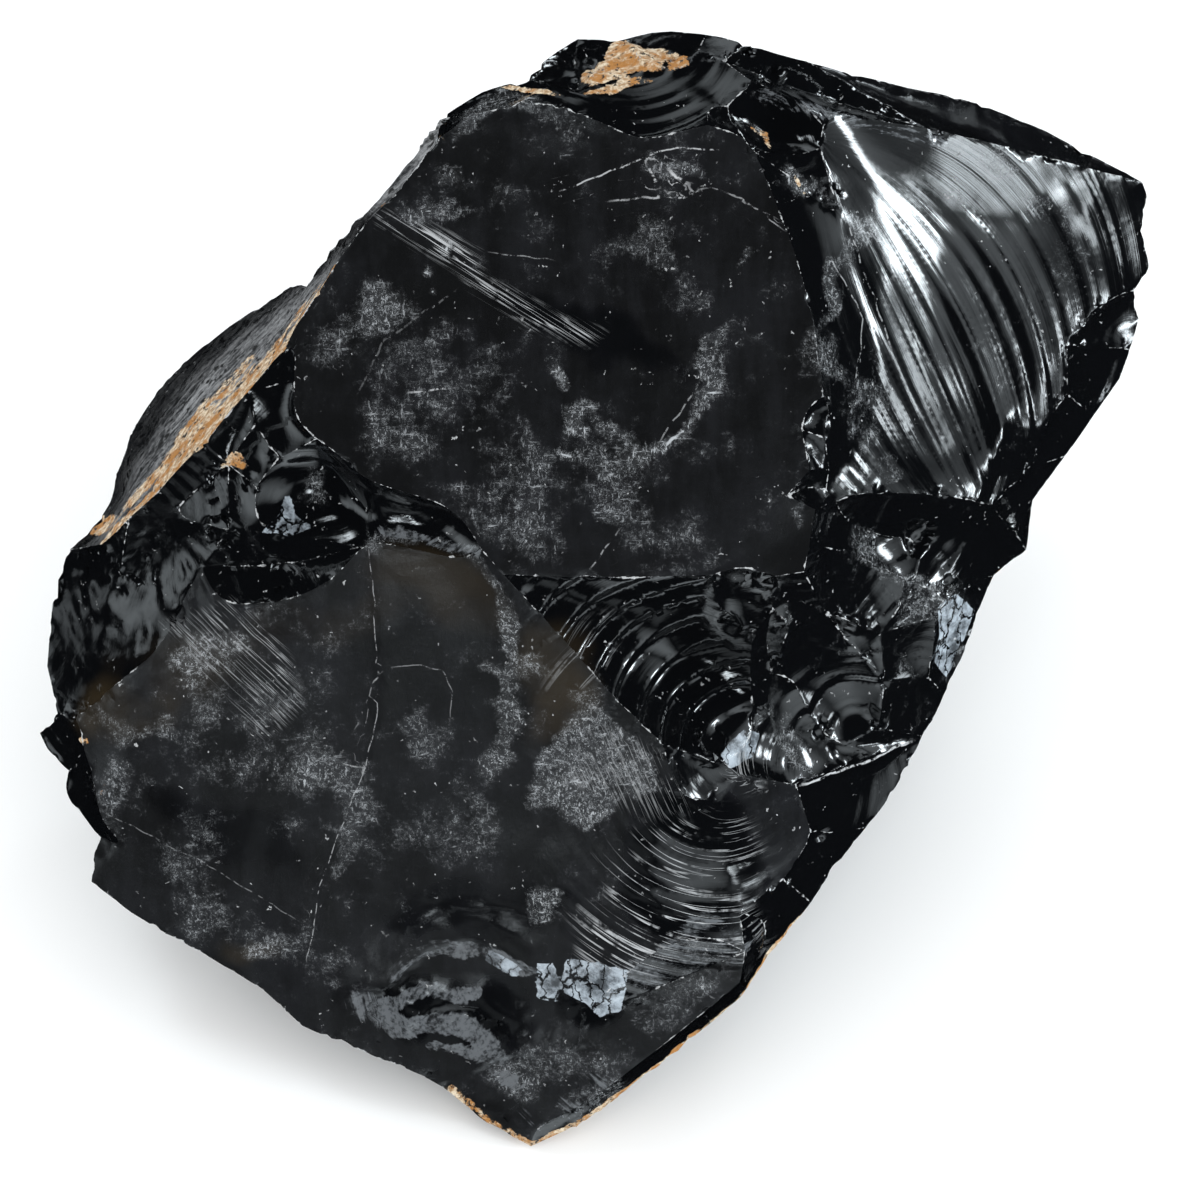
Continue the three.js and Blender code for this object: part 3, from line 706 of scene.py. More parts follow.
# The plates of a crazed film, outlined on the broad face.
PLATES = [
    [(-11, -65), (-8, -65.4), (-7.4, -69), (-8.2, -72.4), (-11.4, -71.5)],
    [(-6, -64.5), (0, -65.2), (5, -66.5), (3.8, -74), (0, -74.8), (-3, -72.4), (-6.8, -70.4)],
    [(-20, -62.6), (-14.4, -65.8), (-15, -67.8), (-20.6, -64.8)],
    [(60.5, -1), (64, 1), (67.5, -2), (65, -8), (62.5, -14), (60, -11), (61, -6)],
    [(-60, 12), (-55, 11.5), (-51, 13), (-54, 15), (-55.5, 19), (-57, 15)],
    [(21, -27), (26, -23), (28.5, -24), (27.5, -27.5), (23, -30)],
]
# Bundles of straight scratches: the outline, the way they run and how bright they are.
SCRATCHED = [
    ([(-41, 70.5), (-38, 66), (-24, 56.5), (-11, 48), (-1, 45), (1.5, 47), (-9, 51.5), (-19, 57.5),
      (-21, 61), (-30, 66)], (0.845, -0.535), 1.0),
    ([(-79, -3), (-66, 1), (-55, -8), (-52, -20), (-60, -24), (-70, -14)], (0.73, -0.68), 0.45),
    ([(-3, -20), (10, -26), (17, -38), (6, -40), (-6, -33)], (0.42, -0.91), 0.3),
]
# Patches of the dull faces that are still glossy.
GLOSSY_SPOTS = [
    (16, -47, 15, 15, 0, 0.9), (-28, -74, 17, 9, -12, 0.55), (0, -72, 9, 5, 0, 0.6),
    (0, 47, 20, 4, -24, 0.5), (-22, -55, 22, 4, 0, 0.4), (-68, -42, 16, 6, -25, 0.4),
]
# Where the glass is stained brown.
BROWN_SPOTS = [
    (-9, -13, 6, 9, 25, 1.0), (-10, -21, 4, 5, 0, 0.9), (-86, -19, 10, 5, 10, 1.0),
    (-72, -12, 14, 9, 0, 0.45), (-65, -62, 6, 3, 0, 0.7), (-28, 1, 14, 6, -20, 0.7),
    (-50, -4, 20, 4, 10, 0.3),
]
# Where fine white hackles run along the ripples.
HACKLE_SPOTS = [
    (14, -54, 16, 7, -22, 1.0), (5, -62, 10, 6, -20, 1.0), (12, -44, 8, 5, 0, 0.6),
    (24, -44, 7, 7, 0, 0.5), (24, -29, 5, 3, 20, 0.5), (-4, -10, 8, 3, 40, 0.25),
    (50, 60, 9, 2, -50, 0.25),
]
# Painted sheen: grey bands that stand in for light gleaming along ledges and the top strip. Each has the
# line on the broad face, half the width and amount.
PAINTED_SHEEN_BANDS = [
    ([(-37, -66), (-33, -62.5), (-28, -61.5), (-21, -62.5), (-14, -67)], 1.6, 0.9),
    ([(-44, -72), (-40, -74), (-37, -76)], 3.2, 0.6), ([(-37, -72), (-31, -69.5), (-23, -70)], 1.3, 0.9),
    ([(-37, -77.5), (-30, -76), (-24, -77.5), (-18, -82)], 2.0, 1.0),
    ([(-30, -81), (-22, -82.5), (-14, -87)], 1.2, 0.6), ([(8, -67), (17, -63), (24, -62)], 3.5, 0.5),
    ([(-4, -80), (2, -84), (-4, -90), (-12, -92)], 3.5, 0.3),
    ([(-50, -70), (-46, -76)], 2.0, 0.3), ([(12, -62), (20, -56)], 2.0, 0.5),
    ([(30, 90), (38, 87), (50, 84.5), (60, 82.5)], 1.3, 0.5), ([(-38, 12), (-30, 9.5), (-22, 8)], 1.0, 0.6),
]
# Places of the fan where the glass is a little filmed and mirrors less.
FILMED_SPOTS = [
    (91, 67, 14, 15, 0, 0.95), (54, 31, 20, 14, -30, 0.9), (80, 45, 16, 12, -40, 0.6),
    (43, 46, 5, 22, 0, 0.7),
]
FILM = 0.3  # how much gloss a film takes away
# Where tan crust is left.
CRUST_SPOTS = [
    (4.5, 94.5, 9, 4.2, 8, 1.15), (2, 97.5, 2.4, 3, 0, 1.1), (-12, 90.5, 9, 1.2, -12, 0.95),
    (13, 94, 4, 2.4, -10, 1.0), (4, 90, 8, 1.2, 4, 0.9), (30, 82.5, 1.4, 4, 30, 0.8),
    (37.5, 72, 1, 4, 10, 0.8), (-29, 84, 1.5, 3, -40, 0.6), (-64, 24, 3, 2, 60, 0.8),
    (-91, 12.5, 5, 2.4, 40, 0.9), (-94, -24, 2.5, 1.2, 0, 0.7), (-90, -33, 1.4, 2.5, 0, 0.7),
    (-65, -62, 2.2, 1.2, -30, 0.7),
]

# Lines with a weathered crust beside them: points (x, y, z) of the broad face's frame.
FLANK_RIDGE = [(-40, 68.5, 31), (-46, 61, 32), (-52, 51, 33), (-62, 37, 31), (-70, 28, 27), (-77, 21, 22),
               (-84, 14.5, 16), (-90, 9, 9)]
FLANK_STREAK = [(-50, 58, 24), (-62, 43, 25), (-69, 33, 22), (-78, 25, 15), (-88, 16, 6)]
TIP_EDGE = [(71, 4.5, -4), (66, -9, -3), (58, -24.5, -3), (48, -41, -4), (38, -54.5, -4), (25.5, -71.5, -3),
            (6, -87.5, -8), (-12, -99, -13), (-27, -89, -12)]

# Cracks and single scratches: points of the line, width, and how bright.
CRACKS = [
    ([(-41, 10), (-40, 0), (-39.5, -20), (-42, -30), (-46, -40), (-50, -50), (-53, -66)], 0.17, 0.5),
    ([(-47, -29), (-42, -30)], 0.25, 0.7),
    ([(-38, -12), (-33, -11.5), (-28, -12.5), (-26, -16), (-27, -22)], 0.17, 0.35),
    ([(-38, -12), (-40, -14), (-44, -24)], 0.2, 0.3),
    ([(-20, 61.5), (-8, 60)], 0.2, 0.4),
    ([(-43, 36), (-38, 46), (-25, 55)], 0.3, 0.15),
    ([(-35, 36.5), (-25, 37.5)], 0.3, 0.7),
    ([(20, 42), (14, 33), (10, 27)], 0.25, 0.4),
    ([(-3, 4), (4, 13)], 0.25, 0.4),
    ([(-8, 72), (0, 75), (7, 78), (13, 80), (22, 79.5)], 0.25, 0.8),
    ([(1, 70.5), (8, 71), (15, 71.2), (19, 73)], 0.3, 0.7),
    ([(8, 77.5), (10, 74), (11, 72.5)], 0.45, 1.0),
    ([(11.5, 77), (13, 75), (16.5, 73)], 0.6, 1.0),
    ([(19, 73), (24, 71.5), (29, 68), (33, 65)], 0.2, 0.5),
    ([(5, 71), (20, 73), (32, 67)], 0.2, 0.35),
    ([(35, -33.5), (45, -30), (57, -25)], 0.35, 1.0),
    ([(-90, -38), (-70, -48), (-54, -58)], 0.2, 0.25),
    ([(42, 72), (47, 58), (52, 44)], 0.25, 0.5),
    ([(40, 62), (47, 50), (45, 36)], 0.2, 0.4),
]
CRACK_REACH = 2.2  # how far from a crack's line its distance is kept on the skin

# The gloss of the named faces, from 0 for dull to 1.
UPPER_GLOSS = 0.22
LOWER_GLOSS = 0.20
STRIP_GLOSS = 0.5
FAN_GLOSS = 1.0
# The side of the lump that lay in the ground, in the broad face's frame, and how worn it is.
BURIED_WAY = np.array([-0.62, 0.70, -0.35])
BURIED_WEAR = 0.78


def spots(xy, places):
    """How strongly each point lies in any of some soft oval places."""
    total = np.zeros(len(xy))
    for x, y, half_along, half_across, degrees, amount in places:
        t = math.radians(degrees)
        rel = xy - (x, y)
        u = (rel[:, 0] * math.cos(t) + rel[:, 1] * math.sin(t)) / half_along
        v = (rel[:, 1] * math.cos(t) - rel[:, 0] * math.sin(t)) / half_across
        total = np.maximum(total, amount * (1 - smoothstep(0.45, 1.25, np.hypot(u, v))))
    return total


shift = np.stack([3.0 * noise(xy, 11, 41) + 1.2 * noise(xy, 3.5, 42),
                  3.0 * noise(xy, 11, 43) + 1.2 * noise(xy, 3.5, 44)], axis=1)
facing = smoothstep(-0.05, 0.15, skin_normals @ OUTWARD)
# The scuffs' broad soft patches also paint a sheen onto the dull faces.
scuff_and_sheen = spots(xy + 1.7 * shift, SCUFFS_AND_SHEEN) * facing
shine, brown, crust, hackle = (spots(xy + shift, places) * facing
                               for places in (GLOSSY_SPOTS, BROWN_SPOTS, CRUST_SPOTS, HACKLE_SPOTS))
# Painted sheen along the lines above, fading to the side of each.
painted_sheen = np.zeros(len(xy))
for line, half, amount in PAINTED_SHEEN_BANDS:
    away, _, _ = nearest_on_line(xy + 0.4 * shift, line)
    painted_sheen = np.maximum(painted_sheen, amount * (1 - smoothstep(0.4 * half, 1.5 * half, np.abs(away))))
painted_sheen *= facing
for outline, amount in FROSTED:
    depth = inside_depth(xy + 0.3 * shift, outline)
    scuff_and_sheen = np.maximum(scuff_and_sheen, amount * smoothstep(-0.5, 0.5, depth) * facing)
crackle = np.zeros(len(xy))
for outline in PLATES:
    crackle = np.maximum(crackle, smoothstep(-0.6, 0.6, inside_depth(xy, outline)) * facing)
# Near scratches: how far along and across them each place is, and how bright they are.
scratches = np.zeros((len(xy), 3))
for outline, way, amount in SCRATCHED:
    depth = inside_depth(xy + 0.4 * shift, outline)
    here = depth > -3
    bright = amount * smoothstep(-0.8, 2.2, depth) * facing
    scratches[here] = np.stack([xy @ way, xy @ (-way[1], way[0]), bright], axis=1)[here]

part_gloss = 0.8 + 0.2 * part_luck[:, 3]
part_gloss[(part_facing < -0.1) & (part_area > 900)] *= 0.75
part_gloss[upper_part] = UPPER_GLOSS
part_gloss[lower_part] = LOWER_GLOSS
part_gloss[strip_part] = STRIP_GLOSS
part_gloss[fan_part] = FAN_GLOSS
turned = np.stack([skin_normals @ way for way in (ACROSS, UPSLOPE, OUTWARD)], axis=1)
buried = smoothstep(0.80, 0.90, turned @ BURIED_WAY + 0.10 * rough(skin.places, 14, 71, 4))
buried *= BURIED_WEAR * smoothstep(200, 400, part_area)[skin_part]
worn = np.where(flank, 1 - 0.9 * rim_near, buried[corners])

ridge_away, _, _ = nearest_on_line(face_places, FLANK_RIDGE)
streak_away, streak_along, _ = nearest_on_line(face_places, FLANK_STREAK)
half = 2.5 + 8 * smoothstep(10, 26, streak_along) * (1 - smoothstep(38, 52, streak_along))
flank_crust = np.maximum(1.15 * (1 - smoothstep(0.5, 6.5, ridge_away)),
                         1 - smoothstep(0.3 * half, 2.6 * half, streak_away))
tip_away, tip_along, _ = nearest_on_line(face_places, TIP_EDGE)
rim = 0.6 + 1.8 * smoothstep(55, 95, tip_along)
patch = 0.85 + 0.4 * rough(face_places, 9, 91, 3)
tip_crust = 1.1 * patch * np.maximum((1 - smoothstep(0.5, 4.5, tip_away)) * (1 - facing),
                                     1 - smoothstep(0.6 * rim, 1.6 * rim, tip_away))
corner_crust = np.maximum(crust[corners], flank_crust[corners] * worn)
corner_crust = np.maximum(corner_crust, 0.95 * tip_crust[corners])

gloss = part_gloss[corner_part]
gloss = gloss - FILM * spots(xy + shift, FILMED_SPOTS)[corners] * fan
gloss = gloss + shine[corners] * (0.9 - gloss) * (worn < 0.5)
gloss *= 1 - worn
ribbed[fan] = smoothstep(5, 32, out_fan)  # the fan's finer ribs start some way out from its apex

# Near a crack: how many widths to the side of it each place is, and how bright the crack is.
crack = np.zeros((len(xy), 2))
nearest = np.full(len(xy), CRACK_REACH)
for line, width, bright in CRACKS:
    signed, far_along, length = nearest_on_line(xy, line)
    wander = 0.2 * noise(np.stack([far_along, 0 * far_along], axis=1), 2.2, 31)
    signed = signed + wander * smoothstep(0, 6, far_along)
    fade = smoothstep(-0.1, 3, far_along) * smoothstep(-0.1, 3, length - far_along)
    here = (np.abs(signed) < nearest) & (facing > 0.5)
    nearest = np.where(here, np.abs(signed), nearest)
    crack[here, 0] = signed[here] / width
    crack[here, 1] = (bright * fade)[here]
crack[nearest > CRACK_REACH - 0.2, 1] = 0

# ---- the mesh

SHARP_FOLD = 38  # degrees from which an edge is shaded sharp


def chunk_mesh():
    mesh = bpy.data.meshes.new("obsidian")
    mesh.from_pydata((skin.places * MM).tolist(), [], skin.tris.tolist())
    mesh.polygons.foreach_set("use_smooth", np.ones(len(skin.tris), bool))
    mesh.set_sharp_from_angle(angle=math.radians(SHARP_FOLD))
    values = {
        ("flow", "CORNER"): np.stack([across, along, luck], axis=1),
        ("finish", "CORNER"): np.stack([gloss, ribbed, worn], axis=1),
        ("scratches", "POINT"): scratches,
        ("crusted", "CORNER"): np.stack([corner_crust, hackle[corners], crackle[corners]], axis=1),
        ("marks", "POINT"): np.stack([scuff_and_sheen, brown, ridge_distance], axis=1),
        # The third value of cracks is the painted sheen.
        ("cracks", "POINT"): np.column_stack([crack, painted_sheen]),
    }
    for (name, domain), value in values.items():
        layer = mesh.attributes.new(name, "FLOAT_VECTOR", domain)
        layer.data.foreach_set("vector", np.asarray(value, np.float32).ravel())
    mesh.update()
    return mesh


def add_object(name, data):
    thing = bpy.data.objects.new(name, data)
    bpy.context.scene.collection.objects.link(thing)
    return thing


chunk = add_object("obsidian_glass", chunk_mesh())

# ---- the glass


class Paint:
    """The nodes of a material or a light. Each call adds nodes and returns the last one's output."""

    def __init__(self, tree):
        self.tree = tree

    def add(self, kind, inputs, output=0, **settings):
        node = self.tree.nodes.new("ShaderNode" + kind)
        for key, value in settings.items():
            setattr(node, key, value)
        for socket, value in inputs.items():
            target = node.inputs[socket]
            if isinstance(value, bpy.types.NodeSocket):
                self.tree.links.new(value, target)
            else:
                target.default_value = value
        return None if output is None else node.outputs[output]

    def value(self, name):
        """The three values kept on the skin under a name."""
        return self.add("Attribute", {}, "Vector", attribute_name=name)

    def split(self, vector):
        return self.add("SeparateXYZ", {0: vector}).node.outputs

    def maths(self, operation, a, b=0.0, c=0.0):
        return self.add("Math", {0: a, 1: b, 2: c}, operation=operation)

    def times(self, a, b):
        return self.maths("MULTIPLY", a, b)

    def plus(self, a, b):
        return self.maths("ADD", a, b)

    def most(self, a, b):
        return self.maths("MAXIMUM", a, b)

    def ramp(self, x, start, end, low=0.0, high=1.0):
        """x from start to end becomes low to high, smoothly and no further."""
        inputs = {"Value": x, "From Min": start, "From Max": end, "To Min": low, "To Max": high}
        return self.add("MapRange", inputs, interpolation_type="SMOOTHSTEP")

    def blend(self, share, a, b):
        """a where share is 0 and b where it is 1. Both are colours."""
        return self.add("Mix", {0: share, 6: a, 7: b}, 2, data_type="RGBA")

    def between(self, share, a, b):
        return self.add("Mix", {0: share, 2: a, 3: b}, 0, data_type="FLOAT")

    def stretch(self, vector, by, turn=(0, 0, 0)):
        return self.add("Mapping", {"Vector": vector, "Scale": by, "Rotation": turn})

    def cloud(self, vector, scale, detail=3.0, rough=0.55, output=0):
        inputs = {"Vector": vector, "Scale": scale, "Detail": detail, "Roughness": rough}
        return self.add("TexNoise", inputs, output)

    def drawn(self, vector, by, detail, rough, turn=(0, 0, 0)):
        """A cloud drawn out by a different scale each way."""
        return self.cloud(self.stretch(vector, by, turn), 1, detail, rough)

    def patches(self, vector, scale, detail, rough, start, end):
        return self.ramp(self.cloud(vector, scale, detail, rough), start, end)

    def sway(self, x, by):
        """A cloud's values, moved to lie around 0 and made that many times larger."""
        return self.times(self.plus(x, -0.5), by)

    def fine_lines(self, x, outer, inner):
        """Thin lines along the middle value of a cloud."""
        return self.ramp(self.maths("ABSOLUTE", self.plus(x, -0.5)), outer, inner)

    def cells(self, vector, scale, feature="F1", output="Distance"):
        return self.add("TexVoronoi", {"Vector": vector, "Scale": scale}, output, feature=feature)

    def bump(self, height, distance, strength=1.0, normal=None):
        inputs = {"Height": height, "Distance": distance, "Strength": strength}
        if normal is not None:
            inputs["Normal"] = normal
        return self.add("Bump", inputs)


def grey(v, tint=(1, 1, 1)):
    return (v * tint[0], v * tint[1], v * tint[2], 1)


def glass_material():
    material = bpy.data.materials.new("obsidian")
    material.use_nodes = True
    material.node_tree.nodes.clear()
    p = Paint(material.node_tree)
    place = p.add("TexCoord", {}, "Object")
    flow = p.value("flow")
    gloss, ribbed, worn = p.split(p.value("finish"))
    crust, hackle, crackle = p.split(p.value("crusted"))
    scuff_and_sheen, brown, ridge = p.split(p.value("marks"))
    # The third value of cracks is the painted sheen.
    crack, crack_bright, painted_sheen = p.split(p.value("cracks"))

    fine = p.cloud(place, 1100, 3, 0.6)
    medium = p.cloud(place, 210, 4, 0.6)
    broad = p.cloud(place, 45, 3, 0.5)
    dull = p.ramp(gloss, 0.65, 0.25)
    shake = p.add("VectorMath", {0: p.cloud(place, 420, 3, 0.6, output="Color"), "Scale": 0.004},
                  operation="SCALE")
    shaken = p.add("VectorMath", {0: place, 1: shake}, operation="ADD")

    # Weathered crust, in ragged flakes.
    crust_noise = p.plus(p.times(p.cloud(place, 330, 5, 0.72), 1.4), p.times(broad, 0.5))
    smeared = p.plus(p.drawn(flow, (0.4, 0.13, 1), 7, 0.72), -0.5)
    crust_noise = p.plus(crust_noise, p.times(worn, p.times(smeared, 2.0)))
    crusted = p.ramp(p.plus(crust, crust_noise), 1.66, 1.76)
    # Crushed glass along the ridges, in broken lines and specks.
    line = p.ramp(p.plus(ridge, p.sway(p.cloud(place, 700, 3, 0.6), 1.3)), 0.06, -0.04)
    crushed = p.times(line, p.patches(place, 160, 4, 0.7, 0.48, 0.56))
    chance = p.add("SeparateColor", {0: p.cells(shaken, 760, output="Color")})
    speck = p.times(p.ramp(p.cells(shaken, 760), 0.24, 0.10), p.ramp(chance, 0.80, 0.82))
    speck = p.times(speck, p.patches(place, 90, 4, 0.7, 0.46, 0.62))
    # Cracks and single scratches.
    jagged = p.plus(crack, p.sway(p.cloud(place, 500, 3, 0.6), 1.4))
    cracked = p.times(p.ramp(p.maths("ABSOLUTE", jagged), 0.8, 0.2), crack_bright)
    cracked = p.times(cracked, p.patches(place, 600, 4, 0.7, 0.44, 0.54))
    # Scuffs: crowds of fine scratches and specks, on soft patches that also paint a sheen onto the dull
    # faces.
    strokes = p.fine_lines(p.cloud(shaken, 700, 5, 0.75), 0.026, 0.006)
    strokes = p.times(strokes, p.patches(place, 800, 4, 0.7, 0.42, 0.62))
    dust = p.times(p.ramp(p.cells(shaken, 1700), 0.34, 0.12), p.ramp(fine, 0.42, 0.60))
    strokes = p.most(strokes, dust)
    hatch = p.most(p.ramp(p.drawn(place, (1700, 300, 900), 3, 0.7, (0, 0, 0.6)), 0.58, 0.68),
                   p.ramp(p.drawn(place, (280, 1700, 900), 3, 0.7, (0, 0, 0.3)), 0.60, 0.70))
    patchy = p.plus(p.times(p.cloud(place, 120, 8, 0.78), 1.3), p.times(scuff_and_sheen, 0.34))
    patchy = p.ramp(p.plus(patchy, p.times(dull, 0.04)), 0.75, 1.14)
    frost = p.plus(p.times(p.most(strokes, hatch), 0.85), 0.05)
    frost = p.most(frost, p.times(p.ramp(scuff_and_sheen, 1.2, 1.5), 0.9))
    scuffed_and_sheen = p.times(patchy, frost)
    # Painted sheen in bands, broken up along the ripples.
    flecks = p.drawn(flow, (3.0, 0.6, 1), 5, 0.75)
    painted_sheen_share = p.plus(p.sway(flecks, 2.4), p.sway(medium, 1.0))
    painted_sheen_share = p.times(p.ramp(p.plus(painted_sheen, painted_sheen_share), 0.36, 0.60), p.ramp(painted_sheen, 0.0, 0.15))
    # Bundles of straight scratches.
    scratches = p.value("scratches")
    lines = p.drawn(scratches, (0.035, 1.25, 0), 2, 0.6)
    scratched = p.times(p.fine_lines(lines, 0.030, 0.008), p.split(scratches)[2])
    scratched = p.times(scratched, p.ramp(medium, 0.36, 0.5))
    # Hackles: fine white lines along the ripples.
    hackle_line = p.fine_lines(p.drawn(flow, (2.6, 0.22, 1), 3, 0.5), 0.030, 0.006)
    hackled = p.times(p.times(hackle, hackle_line), p.ramp(medium, 0.38, 0.52))
    hackled = p.most(hackled, scratched)
    # A crazed film: pale plates between dark cracks.
    plates = p.ramp(p.cells(p.stretch(shaken, (1, 0.4, 0.4)), 330, "DISTANCE_TO_EDGE"), 0.02, 0.07)
    crazed = p.ramp(p.plus(crackle, p.sway(medium, 1.2)), 0.35, 0.5)
    crazed = p.times(p.times(crazed, plates), p.ramp(p.cloud(place, 240, 6, 0.72), 0.34, 0.64, 0.12))

    # The colour, from the clean glass up to what lies on it.
    brushed = p.drawn(place, (190, 34, 34), 5, 0.7, (0, 0, 0.35))
    cloudy = p.plus(p.times(p.cloud(place, 60, 6, 0.68), 0.6), p.times(brushed, 0.4))
    cloudy = p.ramp(cloudy, 0.40, 0.62)
    dull_black = p.blend(cloudy, grey(0.0036, (0.95, 1, 1.15)), grey(0.0088, (0.92, 0.98, 1.2)))
    black = p.blend(dull, grey(0.0024, (0.9, 1, 1.2)), dull_black)
    colour = p.blend(p.times(brown, p.ramp(broad, 0.35, 0.6)), black, (0.022, 0.016, 0.009, 1))
    grain = p.plus(p.times(p.drawn(flow, (2.2, 0.8, 1), 5, 0.7), 0.5), p.times(fine, 0.3))
    grain = p.plus(grain, p.times(p.cloud(place, 85, 4, 0.65), 0.3))
    stone = p.blend(p.ramp(grain, 0.46, 0.66), grey(0.022, (0.95, 1, 1.1)), grey(0.26, (0.98, 1, 1.03)))
    stone = p.blend(p.ramp(p.cells(shaken, 380), 0.34, 0.20), stone, grey(0.02))
    # The painted sheen's colour, from near black to a pale gleam.
    painted_sheen_grey = p.blend(p.ramp(p.plus(flecks, p.sway(fine, 0.6)), 0.38, 0.62),
                         grey(0.012, (0.93, 1, 1.1)), grey(0.11, (0.93, 1, 1.08)))
    tan = p.blend(p.ramp(fine, 0.35, 0.65), (0.36, 0.22, 0.11, 1), (0.74, 0.62, 0.46, 1))
    tan = p.blend(p.patches(place, 260, 4, 0.65, 0.46, 0.60), tan, (0.42, 0.19, 0.05, 1))
    tan = p.blend(p.patches(place, 800, 3, 0.6, 0.57, 0.66), tan, (0.035, 0.030, 0.026, 1))
    white = p.most(p.times(crushed, 0.8), p.times(speck, 0.75))
    # The scuffed layer is partly painted sheen and the satiny layer is all painted sheen, lighter grey
    # where light would gleam.
    for share, layer in (
        (worn, stone), (scuffed_and_sheen, grey(0.42, (0.95, 1, 1.05))), (painted_sheen_share, painted_sheen_grey),
        (hackled, grey(0.42, (0.97, 1, 1.03))), (crazed, grey(0.42, (0.88, 1, 1.12))),
        (cracked, grey(0.45, (0.98, 1, 1.03))), (crusted, tan), (white, grey(0.50, (0.98, 1, 1.02))),
    ):
        colour = p.blend(share, colour, layer)

    roughness = p.between(dull, 0.06, p.plus(0.28, p.times(medium, 0.16)))
    roughness = p.between(worn, roughness, 0.55)
    roughness = p.between(p.ramp(p.most(scuffed_and_sheen, p.most(white, cracked)), 0, 0.4), roughness, 0.6)
    roughness = p.between(crusted, roughness, 0.9)

    # Ripples and ribs finer than the mesh's own, along the same lines, then the grain of the dull, scuffed,
    # worn and crusted places.
    rings = p.drawn(flow, (5.0, 0.5, 1), 3, 0.6)
    ribs = p.drawn(flow, (0.6, 4.5, 1), 3, 0.6)
    normal = p.bump(p.between(ribbed, rings, ribs), 0.00006, 0.5)
    normal = p.bump(medium, 0.0004, p.ramp(gloss, 0.7, 0.2, 0.0, 0.25), normal)
    normal = p.bump(p.plus(fine, frost), 0.0002, p.between(p.most(dull, scuffed_and_sheen), 0.01, 0.12), normal)
    normal = p.bump(p.plus(crust_noise, p.times(fine, 0.5)), 0.0012, p.most(p.times(worn, 0.55), crusted),
                    normal)
    shader = p.add("BsdfPrincipled", {
        "Base Color": colour, "Roughness": roughness, "Normal": normal, "IOR": 1.5,
        "Specular IOR Level": p.between(dull, p.ramp(gloss, 0.68, 0.95, 0.15, 0.5), 0.35)})
    p.add("OutputMaterial", {"Surface": shader}, None)
    return material


chunk.data.materials.append(glass_material())
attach(chunk, "root")
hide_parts(NODE)

# ---- floor, light and camera


FLOOR_HALF = 4.0  # metres
FLOOR_GAP = 0.0002  # metres below the lump
FLOOR_PALE = (0.88, 0.88, 0.88, 1)
LIGHT_COLOUR = (0.86, 0.95, 1.0)
SKY_COLOUR = (1, 0.99, 0.98, 1)
SKY_STRENGTH = 1.02
LENS = 300
SENSOR = 36
VIEW_WIDTH = 0.216  # metres across the picture at the broad face
AIM = Vector(ORIGIN * MM)


def place_out(thing, out, away):
    """Puts a light or the camera that many metres out from the broad face's middle, facing it."""
    thing.location = AIM + out * away
    thing.rotation_mode = "QUATERNION"
    thing.rotation_quaternion = out.to_track_quat("Z", "Y")


def pale_floor():
    mesh = bpy.data.meshes.new("floor")
    ends = [(-1, -1), (1, -1), (1, 1), (-1, 1)]
    mesh.from_pydata([(x * FLOOR_HALF, y * FLOOR_HALF, 0) for x, y in ends], [], [(0, 1, 2, 3)])
    floor = add_object("floor", mesh)
    floor.location.z = cad_box[0][2] - FLOOR_GAP
    material = bpy.data.materials.new("pale_floor")
    material.use_nodes = True
    shader = material.node_tree.nodes["Principled BSDF"]
    shader.inputs["Base Color"].default_value = FLOOR_PALE
    shader.inputs["Roughness"].default_value = 0.9
    shader.inputs["Specular IOR Level"].default_value = 0.1
    mesh.materials.append(material)
    floor.visible_glossy = False  # the glass mirrors only the softboxes


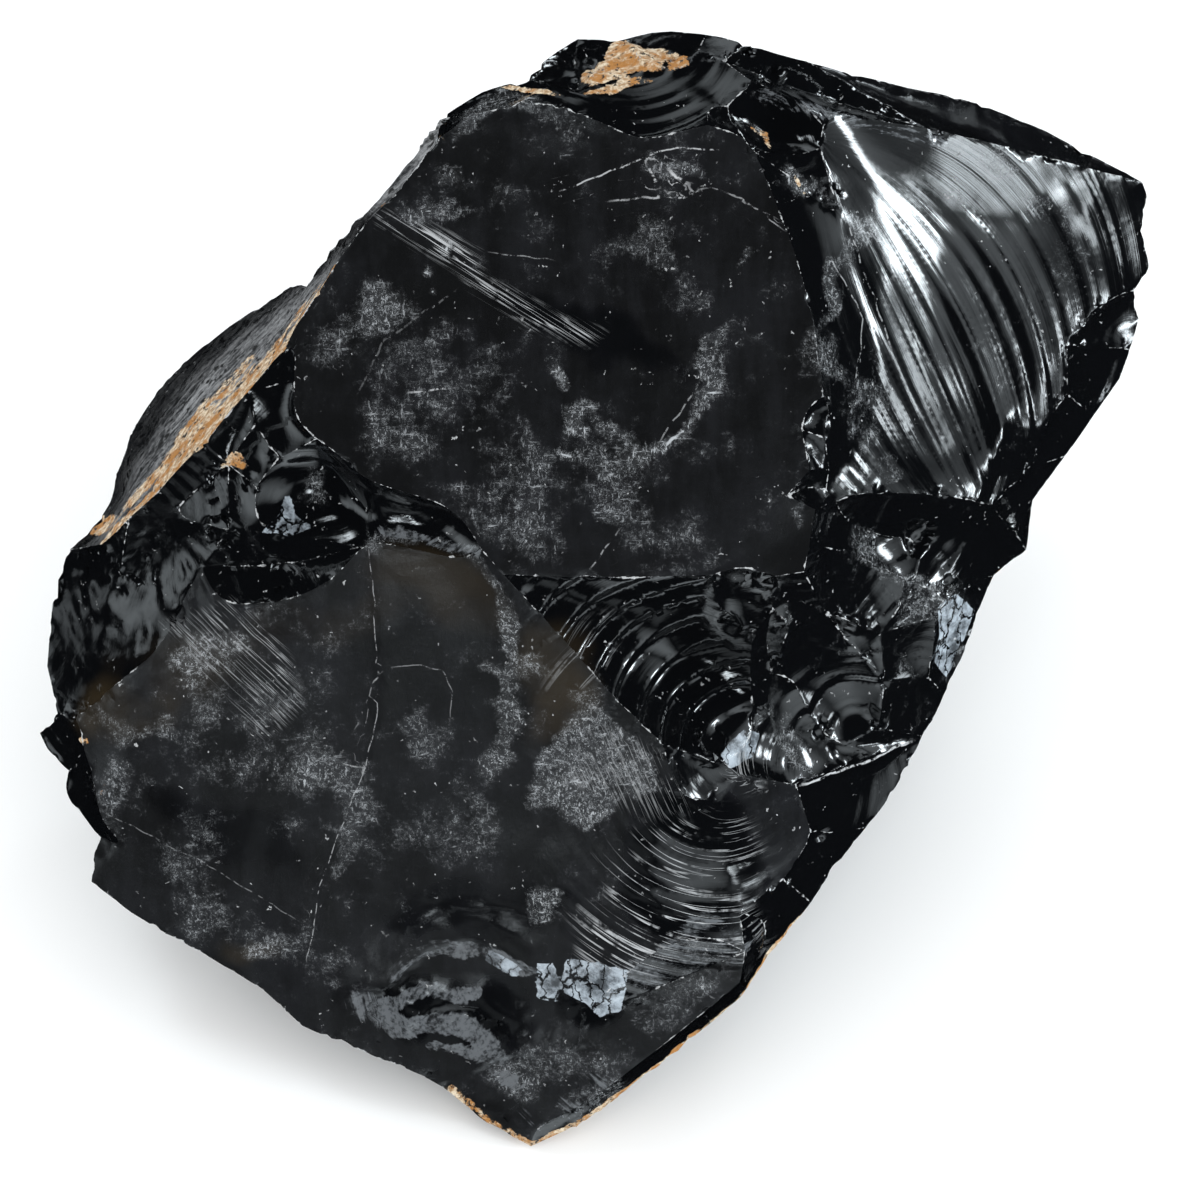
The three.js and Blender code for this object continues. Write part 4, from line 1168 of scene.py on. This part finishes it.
def softbox(name, azimuth, elevation, away, size, radiance, power=1.0):
    """A soft light that faces the lump, away metres from it, from an azimuth and an elevation in degrees.
    It is brightest in its middle and fades to its edges, faster with more power."""
    data = bpy.data.lights.new(name, "AREA")
    data.use_nodes = True
    p = Paint(data.node_tree)
    fades = []
    for side in p.split(p.add("NewGeometry", {}, "Parametric"))[:2]:
        off = p.maths("MULTIPLY_ADD", side, 2, -1)
        fades.append(p.add("Math", {0: 1, 1: p.times(off, off)}, operation="SUBTRACT", use_clamp=True))
    strength = p.maths("POWER", p.times(*fades), power)
    p.tree.links.new(strength, p.tree.nodes["Emission"].inputs["Strength"])
    data.shape = "RECTANGLE"
    data.size, data.size_y = size
    data.energy = radiance * math.pi * size[0] * size[1]
    data.color = LIGHT_COLOUR
    level, turn = math.radians(elevation), math.radians(azimuth)
    out = Vector((math.cos(level) * math.cos(turn), math.cos(level) * math.sin(turn), math.sin(level)))
    place_out(add_object(name, data), out, away)


camera_data = bpy.data.cameras.new("camera")
camera_data.lens = LENS
camera_data.sensor_width = SENSOR
camera = add_object("camera", camera_data)
place_out(camera, Vector(OUTWARD), VIEW_WIDTH * LENS / SENSOR)
bpy.context.scene.camera = camera

pale_floor()
softbox("core_softbox", -6, 17, 0.80, (0.26, 0.16), 46, 1.4)
softbox("high_softbox", -25, 14, 0.85, (0.18, 0.14), 18, 1.6)
softbox("right_panel", -8, 22, 0.90, (0.8, 0.58), 1.9)
softbox("wide_panel", -58, 14, 0.95, (0.9, 0.64), 2.4)
softbox("front_softbox", -112, 29, 0.90, (0.24, 0.22), 22, 3)
softbox("front_panel", -104, 5, 0.95, (0.7, 0.3), 0.7)
softbox("left_panel", -160, 10, 0.90, (0.7, 0.5), 2.6)
softbox("back_panel", 64, 12, 0.90, (0.35, 0.25), 1.6)
softbox("top_softbox", 140, 52, 0.90, (0.36, 0.30), 16, 2)
softbox("crescent_softbox", 54, 26, 0.85, (0.16, 0.20), 30, 1.5)
softbox("far_panel", 112, 25, 1.10, (1.0, 0.5), 2.0)
# Two lights under the floor, where the glass mirrors what would be the lit floor.
softbox("low_panel", -90, -34, 0.60, (0.50, 0.36), 2.6)
softbox("low_left_panel", 174, -14, 0.80, (0.30, 0.20), 0.8)

world = bpy.data.worlds.new("studio")
world.use_nodes = True
world.node_tree.nodes["Background"].inputs["Color"].default_value = SKY_COLOUR
world.node_tree.nodes["Background"].inputs["Strength"].default_value = SKY_STRENGTH
world.cycles_visibility.glossy = False
bpy.context.scene.world = world
bpy.context.scene.view_settings.view_transform = "Standard"
